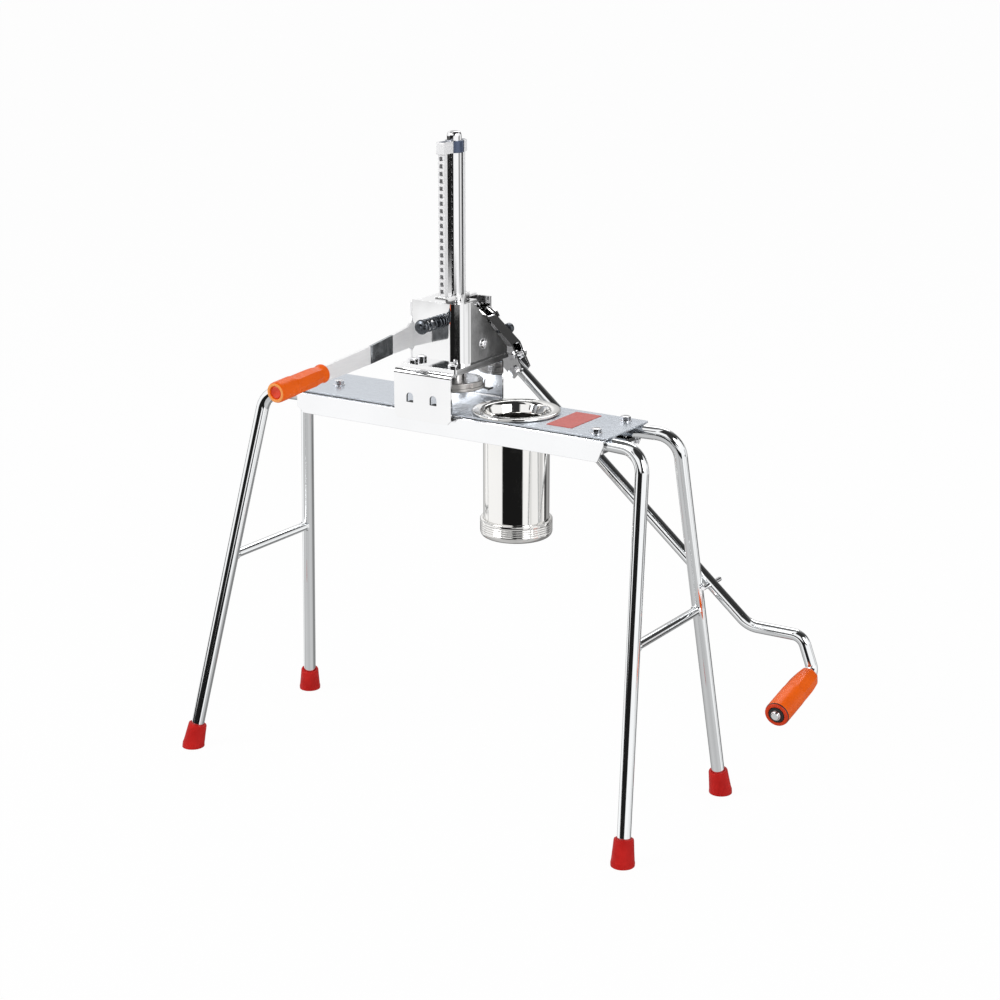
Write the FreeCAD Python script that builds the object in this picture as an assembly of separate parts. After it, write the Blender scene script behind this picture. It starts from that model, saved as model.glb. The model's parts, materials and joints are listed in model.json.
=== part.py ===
import FreeCAD
import Part
import math
import os

# Bench press for pasta: a ratchet ram on a sliding head, a lift-out barrel, four splayed legs.
# X runs along the bench to the right, Y to the rear, Z up; millimetres.
os.makedirs("parts", exist_ok=True)
V = FreeCAD.Vector

# Driving dimensions.
SHIFT_X = -41.60            # puts the middle of the whole footprint on the origin
SHIFT_Y = 71.915

BENCH_TOP = 443.0           # upper face of the bench plate above the floor
PLATE_T = 2.0
PLATE_HALF_L = 210.0
PLATE_HALF_W = 45.0
RAIL_OUT = 44.5             # outer face of the side rail from the middle plane
RAIL_T = 1.5
RAIL_STEP_Z = 438.4         # top of the step that forms the guide groove
RAIL_UP_Y = 41.0
RAIL_BOTTOM = 415.5
RAIL_X0 = -200.0
RAIL_X1 = 206.0

TUBE_R = 7.5                # leg tube radius
TUBE_WALL = 1.5
BEND_R = 26.0
TUBE_Z = BENCH_TOP - PLATE_T - TUBE_R
LEG_IN_X = 130.0            # inner end of the level part of a leg
LEG_IN_Y = 24.2
BEND_X = 250.0              # corner of the leg
BEND_Y = 38.0
FOOT_RX = 276.0             # right feet
FOOT_RY = 112.0
FOOT_LX = -318.0            # left feet
FOOT_LY = 114.0
CAP_LEN = 28.0              # rubber foot along the leg
CAP_R_TOP = 10.9
CAP_R_BOT = 13.2
BRACE_R = 5.2
BRACE_Z_RIGHT = 230.0
BRACE_Z_LEFT = 236.0

STRAP_RX = 189.0            # clamp straps under the tubes
STRAP_LX = -170.0
STRAP_T = 4.0
BOLT_R = 3.0

BARREL_X = 69.6             # barrel axis
BORE_R = 31.5
BARREL_WALL = 5.2
BARREL_R = BORE_R + BARREL_WALL
MOUTH_R = 38.3
MOUTH_CONE = 3.0            # run of the cone inside the rim
MOUTH_DEPTH = 9.0           # depth of the cone inside the tube
RIM_R = 48.6
RIM_T = 3.4
GAP = 0.3                   # running gap between separately moving pieces
HOLE_R = 39.3               # hole in the bench plate
SPIGOT_R = HOLE_R - GAP
SPIGOT_H = 3.0              # part of the rim that centres it in the hole
BARREL_BOTTOM = 310.0
CAP_WALL = 3.25             # wall of the screw ring under the barrel
CAP_RING_R = BARREL_R + GAP + CAP_WALL
CAP_RING_Z0 = 302.8
CAP_COVER = 13.4            # how far the ring reaches up the barrel
CAP_RING_Z1 = BARREL_BOTTOM + CAP_COVER
CAP_LIP = 6.2               # inner lip that holds the die
CAP_GROOVE = 1.2            # depth of the grip grooves
CAP_LAND = 3.4              # width of the bands between them
CAP_NECK = 1.6              # width of the groove floor
DIE_T = 3.9
DIE_R = BARREL_R - 0.1
DIE_HOLE_R = 1.6
DIE_PITCH = 7.2
DIE_FIELD_R = BORE_R - 4.5  # radius of the drilled field

RAM_X = -10.6               # ram axis
RAM_R = 8.0
RAM_TOP = 743.0
RACK_HALF_X = 4.0
RACK_F0 = -25.4             # front face of the front strip
RACK_F1 = -19.4
RACK_B0 = 10.5
RACK_B1 = 15.0
RACK_PITCH = 8.0
RACK_SLOT = 4.6             # side of the square holes in the strips
RACK_SLOT_R = 0.9           # their corner radius
RACK_Z_REF = 571.7          # height of one strip hole
PISTON_R = 31.2
PISTON_BOTTOM = 461.0
PISTON_TOP = 471.0
CLIP_H = 12.8
CLIP_Z1 = RAM_TOP - 9.8     # upper face of the clip below the end of the ram
CLIP_Z0 = CLIP_Z1 - CLIP_H

SADDLE_T = 2.5
FLAP_GAP = 1.4              # room between the barrel rim and a flap
SADDLE_Y = RIM_R + FLAP_GAP + SADDLE_T      # outer face of the saddle flaps
TONGUE_Y = 42.3             # inner edge of the guide tongue under the plate edge
SADDLE_X0 = -57.0
SADDLE_X1 = 18.4
SADDLE_TOP = 487.0
FLAP_BOTTOM = 431.5
BASE_TOP = 492.0
BASE_X0 = -52.5
BASE_X1 = 20.4
BASE_Y0 = -45.5
BASE_Y1 = 62.0
CASE_TOP = 560.0
CASE_Y = -29.0              # outer face of the front panel
CASE_X1 = 17.0              # outer face of the right panel
CASE_R = 18.0
CASE_T = 2.0
CASE_REAR = 62.0
SIDE_X0 = -51.0             # left side plate that carries the holding arm
SIDE_X1 = -48.0
SIDE_REAR = 98.5
SIDE_FOOT_Y = 60.0          # rear end of the edge that stands on the base plate
SIDE_TAIL_Y = 68.0          # front end of the raised lower edge behind it
SIDE_TAIL_Z0 = 505.0
SIDE_TAIL_Z1 = 547.0
SIDE_CREST_Y0 = 30.0        # run of the sloping top edge
SIDE_CREST_Y1 = 70.0
SIDE_DROP = 2.0             # side plate below the top of the casing
ARM_ROOT_TOP = 531.0        # arm where it leaves the side plate
ARM_ROOT_LOW = 507.0
ARM_ROOT_STEP = 4.0
ARM_WAIST_Y = -60.0
ARM_WAIST_TOP = 527.3
ARM_WAIST_LOW = 505.6
ARM_END_TOP = 515.8
ARM_END_LOW = 499.4
ARM_TANG_L = 55.0           # tang inside the grip
ARM_TANG_Z0 = 501.0
ARM_TANG_Z1 = 510.0
ARM_END_Y = -195.0
ARM_TILT = 3.7              # degrees below level
HOLD_GRIP_Z = 508.4         # grip axis at the end of the arm
HOLD_GRIP_R = 10.5
HOLD_GRIP_L = 80.0

LEVER_ANGLE = 40.0          # rest angle of the lever below level
LEVER_X = -33.0             # point on the lever line
LEVER_Z = 513.3
LEVER_Y = 84.0              # middle plane of the lever
ROD_R = 6.5
CHEEK_T = 3.0
PIVOT_N = 8.0               # pivot above the lever line
PIVOT_R = 4.0
WEB_N = 19.0
SOCKET_END = 74.0
GRIP_R = 13.6
GRIP_L = 87.0
SPINDLE_R = 4.5

PIN_Z = RACK_Z_REF - 4.0 * RACK_PITCH       # holding pin height
PIN_R = 1.9                 # both pins, which fit the square holes of the strips
PIN_FIT = 0.06
PIN_TRAVEL = 5.5            # how far each pin slides to its strip
COIL_TURNS = 3.25
COIL_R = 6.4                # centre line radius of the spring
COIL_WIRE = 1.1             # wire radius of the spring


# Small helpers.
def box(x0, x1, y0, y1, z0, z1):
    return Part.makeBox(x1 - x0, y1 - y0, z1 - z0, V(x0, y0, z0))


def rod(r, p0, p1):
    d = p1.sub(p0)
    return Part.makeCylinder(r, d.Length, p0, d)


def cone(r0, r1, p0, p1):
    d = p1.sub(p0)
    return Part.makeCone(r0, r1, d.Length, p0, d)


def fuse(items):
    s = items[0]
    for t in items[1:]:
        s = s.fuse(t)
    return s.removeSplitter()


def prism(points, vec):
    pts = [V(*p) for p in points]
    pts.append(pts[0])
    return Part.Face(Part.makePolygon(pts)).extrude(vec)


def turned(profile, cx, cy):
    # profile: (radius, height) corners of half the section, turned about a vertical axis
    pts = [V(cx + r, cy, z) for r, z in profile]
    pts.append(pts[0])
    f = Part.Face(Part.makePolygon(pts))
    return f.revolve(V(cx, cy, 0), V(0, 0, 1), 360)


def hexagon(p, axis, across, height):
    # hexagonal prism standing on point p along the axis
    r = across / math.sqrt(3.0)
    pts = []
    for i in range(6):
        a = math.radians(60.0 * i)
        pts.append(V(r * math.cos(a), r * math.sin(a), 0))
    pts.append(pts[0])
    s = Part.Face(Part.makePolygon(pts)).extrude(V(0, 0, height))
    s.Placement = FreeCAD.Placement(p, FreeCAD.Rotation(V(0, 0, 1), axis))
    return s


def dome_head(p, axis, r, h):
    # low round head: a short cylinder with a chamfered crown
    a = V(axis)
    a.normalize()
    s = Part.makeCylinder(r, h, p, a)
    top = [e for e in s.Edges if e.Curve.TypeId == "Part::GeomCircle"]
    far = max(top, key=lambda e: e.Curve.Center.sub(p).dot(a))
    return s.makeFillet(min(0.45 * h, 0.45 * r), [far])


def bent(points, radii, r):
    # round bar along a path of straight runs with rounded corners
    edges = []
    last = V(points[0])
    for i in range(1, len(points) - 1):
        p = V(points[i])
        a = V(points[i - 1]).sub(p)
        b = V(points[i + 1]).sub(p)
        a.normalize()
        b.normalize()
        ang = a.getAngle(b)
        t = radii[i - 1] / math.tan(ang / 2.0)
        q0 = p.add(V(a).multiply(t))
        q1 = p.add(V(b).multiply(t))
        bis = a.add(b)
        bis.normalize()
        mid = p.add(V(bis).multiply(radii[i - 1] / math.sin(ang / 2.0) - radii[i - 1]))
        edges.append(Part.makeLine(last, q0))
        edges.append(Part.Arc(q0, mid, q1).toShape())
        last = q1
    edges.append(Part.makeLine(last, V(points[-1])))
    path = Part.Wire(edges)
    d = V(points[1]).sub(V(points[0]))
    prof = Part.Wire([Part.makeCircle(r, V(points[0]), d)])
    return path.makePipeShell([prof], True, False)


def lever_point(s, n, y):
    a = math.radians(LEVER_ANGLE)
    x = LEVER_X + s * math.cos(a) + n * math.sin(a)
    z = LEVER_Z - s * math.sin(a) + n * math.cos(a)
    return V(x, y, z)


OUT = {}


def give(name, shape):
    s = shape.copy()
    s.translate(V(SHIFT_X, SHIFT_Y, 0))
    if s.ShapeType != "Solid" and len(s.Solids) == 1:
        s = s.Solids[0]
    if not s.isValid() or len(s.Solids) != 1:
        print("CHECK", name, s.isValid(), len(s.Solids))
    OUT[name] = s
    s.exportStep("parts/" + name + ".step")


# Bench.
plate = box(-PLATE_HALF_L, PLATE_HALF_L, -PLATE_HALF_W, PLATE_HALF_W, BENCH_TOP - PLATE_T, BENCH_TOP)
corners = [e for e in plate.Edges if abs(e.Vertexes[0].X - e.Vertexes[1].X) < 0.01
           and abs(e.Vertexes[0].Y - e.Vertexes[1].Y) < 0.01]
plate = plate.makeFillet(3.0, corners)
under_plate = BENCH_TOP - PLATE_T - 5.0
over_plate = BENCH_TOP + 5.0
plate = plate.cut(rod(HOLE_R, V(BARREL_X, 0, under_plate), V(BARREL_X, 0, over_plate)))


def tube_y(x):
    t = (abs(x) - LEG_IN_X) / (BEND_X - LEG_IN_X)
    return LEG_IN_Y + (BEND_Y - LEG_IN_Y) * t


BOLT_Y = tube_y(STRAP_RX)
bolt_spots = [("stand_bolt_front", STRAP_RX, -BOLT_Y), ("stand_bolt_rear", STRAP_RX, BOLT_Y),
              ("stand_bolt_left", STRAP_LX, -4.0)]
for _n, bx, by in bolt_spots:
    plate = plate.cut(rod(BOLT_R, V(bx, by, under_plate), V(bx, by, over_plate)))
give("bench_plate", plate)


def rail(side):
    t = RAIL_T
    under = BENCH_TOP - PLATE_T
    pts = [(RAIL_OUT, RAIL_BOTTOM), (RAIL_OUT, RAIL_STEP_Z), (RAIL_UP_Y, RAIL_STEP_Z), (RAIL_UP_Y, under),
           (RAIL_UP_Y - t, under), (RAIL_UP_Y - t, RAIL_STEP_Z - t), (RAIL_OUT - t, RAIL_STEP_Z - t),
           (RAIL_OUT - t, RAIL_BOTTOM)]
    s = prism([(RAIL_X0, side * y, z) for y, z in pts], V(RAIL_X1 - RAIL_X0, 0, 0))
    low = RAIL_BOTTOM
    y0 = side * (RAIL_OUT + 1.0)
    # oblique cut at the right end and chamfered lower corner at the left end
    right = prism([(RAIL_X1 - 8.0, y0, low - 1), (RAIL_X1 + 1, y0, low - 1),
                   (RAIL_X1 + 1, y0, RAIL_STEP_Z - 2)], V(0, -side * 10.0, 0))
    left = prism([(RAIL_X0 - 1, y0, low - 1), (RAIL_X0 + 10.0, y0, low - 1), (RAIL_X0 - 1, y0, low + 8.0)],
                 V(0, -side * 10.0, 0))
    return s.cut(right).cut(left)


give("side_rail_front", rail(-1))
give("side_rail_rear", rail(1))
label = box(125, 157, -28, 35, BENCH_TOP, BENCH_TOP + 0.5)
give("label_plate", label)

# Legs, braces and feet.
legs = {}
for name, sx, sy in (("fl", -1, -1), ("fr", 1, -1), ("rl", -1, 1), ("rr", 1, 1)):
    fx = FOOT_RX if sx > 0 else FOOT_LX
    fy = FOOT_RY if sx > 0 else FOOT_LY
    inner = V(sx * LEG_IN_X, sy * LEG_IN_Y, TUBE_Z)
    corner = V(sx * BEND_X, sy * BEND_Y, TUBE_Z)
    ground = V(fx, sy * fy, 0)
    down = ground.sub(corner)
    down.normalize()
    stop = ground.sub(V(down).multiply(5.0))
    outer = bent([inner, corner, stop], [BEND_R], TUBE_R)
    hollow = bent([inner, corner, stop], [BEND_R], TUBE_R - TUBE_WALL)
    legs[name] = (outer, hollow, corner, ground, down, stop)

for name in ("fl", "fr", "rl", "rr"):
    outer, hollow, corner, ground, down, stop = legs[name]
    s = outer.cut(hollow)
    if name in ("fr", "rr"):
        by = -BOLT_Y if name == "fr" else BOLT_Y
        s = s.cut(rod(BOLT_R, V(STRAP_RX, by, TUBE_Z - 2 * TUBE_R), V(STRAP_RX, by, TUBE_Z + 2 * TUBE_R)))
    give("leg_" + name, s)
    base = ground.sub(V(down).multiply(1.2))
    top = base.sub(V(down).multiply(CAP_LEN))
    cap = cone(CAP_R_BOT, CAP_R_TOP, base, top)
    ends = [e for e in cap.Edges if e.Curve.TypeId == "Part::GeomCircle"]
    cap = cap.makeFillet(1.6, ends)
    cap = cap.cut(rod(TUBE_R, stop, stop.sub(V(down).multiply(60.0))))
    cap = cap.cut(box(-400, 400, -200, 200, -20, 0))
    give("foot_" + name, cap)

for name, keys, z in (("brace_left", ("fl", "rl"), BRACE_Z_LEFT),
                      ("brace_right", ("fr", "rr"), BRACE_Z_RIGHT)):
    ends = []
    for k in keys:
        c = legs[k][2]
        g = legs[k][3]
        t = (c.z - z) / (c.z - g.z)
        ends.append(c.add(g.sub(c).multiply(t)))
    b = rod(BRACE_R, ends[0], ends[1])
    for k in keys:
        b = b.cut(legs[k][0])
        b = b.cut(legs[k][1])
    b = max(b.Solids, key=lambda s: s.Volume)
    give(name, b)

strap_top = TUBE_Z - TUBE_R
for name, sx, w in (("strap_left", STRAP_LX, 66.0), ("strap_right", STRAP_RX, 76.0)):
    s = box(sx - 10, sx + 10, -w / 2, w / 2, strap_top - STRAP_T, strap_top)
    edges = [e for e in s.Edges if abs(e.Vertexes[0].X - e.Vertexes[1].X) < 0.01
             and abs(e.Vertexes[0].Y - e.Vertexes[1].Y) < 0.01]
    s = s.makeFillet(4.0, edges)
    for _n, bx, by in bolt_spots:
        s = s.cut(rod(BOLT_R, V(bx, by, strap_top - 2 * STRAP_T), V(bx, by, strap_top + STRAP_T)))
    give(name, s)
for name, bx, by in bolt_spots:
    shank = rod(BOLT_R, V(bx, by, strap_top - STRAP_T - 9.0), V(bx, by, BENCH_TOP + 0.5))
    washer = rod(6.6, V(bx, by, BENCH_TOP), V(bx, by, BENCH_TOP + 1.2))
    head = hexagon(V(bx, by, BENCH_TOP + 1.2), V(0, 0, 1), 10.0, 4.6)
    give(name, fuse([shank, washer, head]))
    nut = hexagon(V(bx, by, strap_top - STRAP_T - 5.0), V(0, 0, 1), 10.0, 5.0)
    nut = nut.cut(rod(BOLT_R, V(bx, by, strap_top - STRAP_T - 8.0), V(bx, by, strap_top)))
    give(name.replace("bolt", "nut"), nut)

# Barrel and die.
rim_z = BENCH_TOP + GAP
prof = [(BORE_R, BARREL_BOTTOM), (BARREL_R, BARREL_BOTTOM), (BARREL_R, rim_z), (MOUTH_R - MOUTH_CONE, rim_z),
        (BORE_R, rim_z - MOUTH_DEPTH)]
give("barrel", turned(prof, BARREL_X, 0))
prof = [(BARREL_R, rim_z - SPIGOT_H), (SPIGOT_R, rim_z - SPIGOT_H), (SPIGOT_R, rim_z), (RIM_R - 0.8, rim_z),
        (RIM_R, rim_z + 0.9), (RIM_R, rim_z + RIM_T - 1.4), (RIM_R - 1.4, rim_z + RIM_T),
        (MOUTH_R, rim_z + RIM_T), (MOUTH_R - MOUTH_CONE, rim_z), (BARREL_R, rim_z)]
give("barrel_rim", turned(prof, BARREL_X, 0))
z0 = CAP_RING_Z0
lip = BARREL_BOTTOM - GAP - DIE_T
lip_r = DIE_R + 0.1 - CAP_LIP
shift = 0.8                 # run of each groove side
prof = [(lip_r, z0), (CAP_RING_R - 1.5, z0), (CAP_RING_R, z0 + 1.5)]
zg = z0 + 6.0
for i in range(2):
    prof = prof + [(CAP_RING_R, zg), (CAP_RING_R - CAP_GROOVE, zg + shift),
                   (CAP_RING_R - CAP_GROOVE, zg + shift + CAP_NECK), (CAP_RING_R, zg + 2 * shift + CAP_NECK)]
    zg = zg + 2 * shift + CAP_NECK + CAP_LAND
prof = prof + [(CAP_RING_R, CAP_RING_Z1 - 1.0), (CAP_RING_R - 1.0, CAP_RING_Z1),
               (BARREL_R + GAP, CAP_RING_Z1), (BARREL_R + GAP, lip), (lip_r, lip)]
give("die_cap_ring", turned(prof, BARREL_X, 0))
die = rod(DIE_R, V(BARREL_X, 0, lip), V(BARREL_X, 0, lip + DIE_T))
drills = []
for i in range(-5, 6):
    for j in range(-5, 6):
        hx = DIE_PITCH * (i + 0.5 * j)
        hy = DIE_PITCH * j * math.sqrt(3.0) / 2.0
        if math.hypot(hx, hy) < DIE_FIELD_R:
            hx = hx + BARREL_X
            drills.append(rod(DIE_HOLE_R, V(hx, hy, lip - 1), V(hx, hy, lip + DIE_T + 1)))
give("die_plate", die.cut(drills))

# Saddle and guide strips.
outer = box(SADDLE_X0, SADDLE_X1, -SADDLE_Y, SADDLE_Y, FLAP_BOTTOM, SADDLE_TOP)
long_top = [e for e in outer.Edges if abs(e.Vertexes[0].Z - SADDLE_TOP) < 0.01
            and abs(e.Vertexes[1].Z - SADDLE_TOP) < 0.01 and abs(e.Vertexes[0].Y - e.Vertexes[1].Y) < 0.01]
outer = outer.makeFillet(5.0, long_top)
inner_w = SADDLE_Y - SADDLE_T
inner = box(SADDLE_X0 - 1, SADDLE_X1 + 1, -inner_w, inner_w, FLAP_BOTTOM - 1, SADDLE_TOP - SADDLE_T)
long_top = [e for e in inner.Edges if abs(e.Vertexes[0].Z - (SADDLE_TOP - SADDLE_T)) < 0.01
            and abs(e.Vertexes[1].Z - (SADDLE_TOP - SADDLE_T)) < 0.01
            and abs(e.Vertexes[0].Y - e.Vertexes[1].Y) < 0.01]
inner = inner.makeFillet(2.5, long_top)
saddle = outer.cut(inner)
for side in (-1, 1):
    for xa in (SADDLE_X0, SADDLE_X1):
        d = 1 if xa < 0 else -1
        cut = prism([(xa - d, side * 60, FLAP_BOTTOM - 1), (xa + d * 6, side * 60, FLAP_BOTTOM - 1),
                     (xa - d, side * 60, FLAP_BOTTOM + 6)], V(0, -side * 20, 0))
        saddle = saddle.cut(cut)
opening = box(RAM_X - 10.5, RAM_X + 10.5, -28.5, 18.5, SADDLE_TOP - 10.0, BASE_TOP + 5.0)
saddle = saddle.cut(opening)
tabs = []
for side, xs in ((-1, (-36.0, -5.0)), (1, (-36.0, -2.0))):
    for wx in xs:
        win = box(wx - 4.5, wx + 4.5, -60, 60, 450.5, 457.0)
        win = win.fuse(rod(4.5, V(wx, -60, 457.0), V(wx, 60, 457.0)))
        half = box(-100, 100, min(side * 40, side * 60), max(side * 40, side * 60), 440, 470)
        saddle = saddle.cut(win.common(half))
        y0 = side * (SADDLE_Y - SADDLE_T)
        y1 = side * (SADDLE_Y - SADDLE_T - 6.0)
        ya = side * SADDLE_Y
        tabs.append(box(wx - 4.5, wx + 4.5, min(ya, y1), max(ya, y1), 449.2, 450.7))
saddle = fuse([saddle] + tabs)
give("saddle", saddle)
strip_in = PLATE_HALF_W + 1.0
tongue_up = BENCH_TOP - PLATE_T - GAP
tongue_low = RAIL_STEP_Z + GAP
for name, side in (("guide_strip_front", -1), ("guide_strip_rear", 1)):
    pts = [(inner_w, 433.0), (inner_w, BENCH_TOP - 0.6), (strip_in, BENCH_TOP - 0.6), (strip_in, tongue_up),
           (TONGUE_Y, tongue_up), (TONGUE_Y, tongue_low), (strip_in, tongue_low), (strip_in, 433.0)]
    s = prism([(SADDLE_X0 + 5, side * y, z) for y, z in pts], V(SADDLE_X1 - SADDLE_X0 - 10, 0, 0))
    give(name, s)

# Head: base plate, casing, top plate, ram guide.
base = box(BASE_X0, BASE_X1, BASE_Y0, BASE_Y1, SADDLE_TOP, BASE_TOP)
corners = [e for e in base.Edges if abs(e.Vertexes[0].X - e.Vertexes[1].X) < 0.01
           and abs(e.Vertexes[0].Y - e.Vertexes[1].Y) < 0.01]
base = base.makeFillet(2.5, corners)
base = base.cut(opening)
base_spots = [(11.5, -37.5), (-42.0, -37.5), (5.0, 40.0), (-40.0, 40.0)]
for bx, by in base_spots:
    base = base.cut(rod(BOLT_R, V(bx, by, SADDLE_TOP - 5.0), V(bx, by, BASE_TOP + 5.0)))
give("base_plate", base)
saddle2 = OUT["saddle"]
for bx, by in base_spots:
    px = bx + SHIFT_X
    py = by + SHIFT_Y
    saddle2 = saddle2.cut(rod(BOLT_R, V(px, py, SADDLE_TOP - 10.0), V(px, py, BASE_TOP + 5.0)))
saddle2 = saddle2.Solids[0]
OUT["saddle"] = saddle2
saddle2.exportStep("parts/saddle.step")
for i, (bx, by) in enumerate(base_spots):
    head = hexagon(V(bx, by, BASE_TOP), V(0, 0, 1), 10.0, 4.5)
    low = SADDLE_TOP - SADDLE_T
    shank = rod(BOLT_R, V(bx, by, low - 4.0), V(bx, by, BASE_TOP + 1))
    nut = hexagon(V(bx, by, low - 3.2), V(0, 0, 1), 8.0, 3.2)
    give("base_bolt_" + str(i + 1), fuse([head, shank, nut]))

r = CASE_R
c = V(CASE_X1 - r, CASE_Y + r, BASE_TOP)


def bend_wire(inset):
    k = r - inset
    a = V(c.x, c.y - k, BASE_TOP)
    b = V(c.x + k, c.y, BASE_TOP)
    m = V(c.x + k * math.sin(math.radians(45)), c.y - k * math.cos(math.radians(45)), BASE_TOP)
    return a, m, b


a0, m0, b0 = bend_wire(0.0)
a1, m1, b1 = bend_wire(CASE_T)
edges = [Part.makeLine(V(SIDE_X1, CASE_Y, BASE_TOP), a0), Part.Arc(a0, m0, b0).toShape(),
         Part.makeLine(b0, V(CASE_X1, CASE_REAR, BASE_TOP)),
         Part.makeLine(V(CASE_X1, CASE_REAR, BASE_TOP), V(CASE_X1 - CASE_T, CASE_REAR, BASE_TOP)),
         Part.makeLine(V(CASE_X1 - CASE_T, CASE_REAR, BASE_TOP), b1), Part.Arc(b1, m1, a1).toShape(),
         Part.makeLine(a1, V(SIDE_X1, CASE_Y + CASE_T, BASE_TOP)),
         Part.makeLine(V(SIDE_X1, CASE_Y + CASE_T, BASE_TOP), V(SIDE_X1, CASE_Y, BASE_TOP))]
case = Part.Face(Part.Wire(edges)).extrude(V(0, 0, CASE_TOP - BASE_TOP))
slope = prism([(CASE_X1 - 6, -8.0, CASE_TOP + 2), (CASE_X1 - 6, 80.0, CASE_TOP + 2),
               (CASE_X1 - 6, 80.0, 485.0), (CASE_X1 - 6, 62.5, 499.0)], V(12, 0, 0))
case = case.cut(slope)
# stiffening flange folded inward along the slope
lx = CASE_X1 - CASE_T
dy = 62.5 + 8.0
dz = 499.0 - (CASE_TOP + 2)
ln = math.hypot(dy, dz)
ny = dz / ln
nz = -dy / ln
fl = prism([(lx - 5.0, -5.0, CASE_TOP - 0.7), (lx - 5.0, 60.0, 501.2),
            (lx - 5.0, 60.0 + 1.6 * ny, 501.2 + 1.6 * nz),
            (lx - 5.0, -5.0 + 1.6 * ny, CASE_TOP - 0.7 + 1.6 * nz)], V(6.5, 0, 0))
case = fuse([case, fl])
case = case.cut(rod(PIN_R + PIN_FIT, V(RAM_X, CASE_Y - 3, PIN_Z), V(RAM_X, CASE_Y + 5, PIN_Z)))
SIDE_BOLT = V(CASE_X1, 14.0, 510.5)
case = case.cut(rod(BOLT_R, SIDE_BOLT.add(V(-6, 0, 0)), SIDE_BOLT.add(V(3, 0, 0))))
give("casing", case)
give("side_bolt", fuse([dome_head(SIDE_BOLT, V(1, 0, 0), 5.6, 3.3),
                        rod(BOLT_R, SIDE_BOLT.add(V(-7.5, 0, 0)), SIDE_BOLT.add(V(1, 0, 0))),
                        hexagon(SIDE_BOLT.add(V(-2.0, 0, 0)), V(-1, 0, 0), 9.0, 4.0)]))

top = box(SIDE_X1, CASE_X1 - CASE_T, CASE_Y + CASE_T, 20.0, CASE_TOP - 5.0, CASE_TOP - 2.0)
tz0 = CASE_TOP - 20.0
tz1 = CASE_TOP + 20.0
round_corner = rod(CASE_R - CASE_T, V(c.x, c.y, tz0 - 10.0), V(c.x, c.y, tz1 + 10.0))
top = top.cut(box(c.x + 1.0, c.x + 2 * r, c.y - 2 * r, 60, tz0, tz1).cut(round_corner)
              .cut(box(c.x, CASE_X1 - CASE_T, c.y, 60, tz0 - 10.0, tz1 + 10.0)))
top = top.cut(box(5, 40, -9.0, 60, tz0, tz1))
top = top.cut(box(RAM_X - 10.0, RAM_X + 10.0, -27.0 + 0.4, 16.4, tz0, tz1))
give("top_plate", top)


def ram_clearance(z0, z1, rr, side, fb):
    hole = rod(rr, V(RAM_X, 0, z0), V(RAM_X, 0, z1))
    f = box(RAM_X - side, RAM_X + side, RACK_F0 - fb, RACK_F1 + fb, z0, z1)
    b = box(RAM_X - side, RAM_X + side, RACK_B0 - fb, RACK_B1 + fb, z0, z1)
    return hole.fuse(f).fuse(b)


guide = box(RAM_X - 7.0, RAM_X + 7.0, -28.8, 18.0, CASE_TOP - 2.0, CASE_TOP + 6.0)
guide = guide.fuse(rod(12.0, V(RAM_X, 0, CASE_TOP - 2.0), V(RAM_X, 0, CASE_TOP + 6.0)))
guide = guide.cut(box(-60, 60, -40, CASE_Y + CASE_T, CASE_TOP - 3.0, CASE_TOP))
guide = guide.cut(ram_clearance(CASE_TOP - 5, CASE_TOP + 10, RAM_R + 0.05, RACK_HALF_X + 0.35, 0.35))
give("ram_guide", guide.removeSplitter())

# Left side plate with the holding arm, its grip and plug.
tilt = math.tan(math.radians(ARM_TILT))
arm_pts = [(SIDE_REAR, SIDE_TAIL_Z0), (SIDE_REAR, SIDE_TAIL_Z1), (SIDE_CREST_Y1, SIDE_TAIL_Z1),
           (SIDE_CREST_Y0, CASE_TOP - SIDE_DROP), (CASE_Y, CASE_TOP - SIDE_DROP), (CASE_Y, ARM_ROOT_TOP),
           (ARM_WAIST_Y, ARM_WAIST_TOP), (ARM_END_Y, ARM_END_TOP), (ARM_END_Y, ARM_END_LOW),
           (ARM_WAIST_Y, ARM_WAIST_LOW), (CASE_Y - ARM_ROOT_STEP, ARM_ROOT_LOW),
           (CASE_Y, ARM_ROOT_LOW - ARM_ROOT_STEP), (CASE_Y, BASE_TOP), (SIDE_FOOT_Y, BASE_TOP),
           (SIDE_TAIL_Y, SIDE_TAIL_Z0)]
side_plate = prism([(SIDE_X0, y, z) for y, z in arm_pts], V(SIDE_X1 - SIDE_X0, 0, 0))
inner_corner = [e for e in side_plate.Edges if abs(e.Vertexes[0].Y - CASE_Y) < 0.01
                and abs(e.Vertexes[1].Y - CASE_Y) < 0.01 and abs(e.Vertexes[0].Z - ARM_ROOT_TOP) < 0.01
                and abs(e.Vertexes[1].Z - ARM_ROOT_TOP) < 0.01]
side_plate = side_plate.makeFillet(9.0, inner_corner)
tang = box(SIDE_X0, SIDE_X1, ARM_END_Y - ARM_TANG_L, ARM_END_Y + 2.0, ARM_TANG_Z0, ARM_TANG_Z1)
side_plate = side_plate.fuse(tang).removeSplitter()
give("arm_plate", side_plate)
gx = 0.5 * (SIDE_X0 + SIDE_X1)
g0 = V(gx, ARM_END_Y + 6.0, HOLD_GRIP_Z)
gdir = V(0, -math.cos(math.radians(ARM_TILT)), -math.sin(math.radians(ARM_TILT)))
g1 = g0.add(V(gdir).multiply(HOLD_GRIP_L))
pts = []
for i in range(8):
    a = math.radians(45.0 * i + 22.5)
    pts.append(V(HOLD_GRIP_R * math.cos(a) / math.cos(math.radians(22.5)) * 0.985,
                 HOLD_GRIP_R * math.sin(a) / math.cos(math.radians(22.5)) * 0.985, 0))
pts.append(pts[0])
grip = Part.Face(Part.makePolygon(pts)).extrude(V(0, 0, HOLD_GRIP_L))
grip = grip.makeFillet(1.5, grip.Edges)
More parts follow.
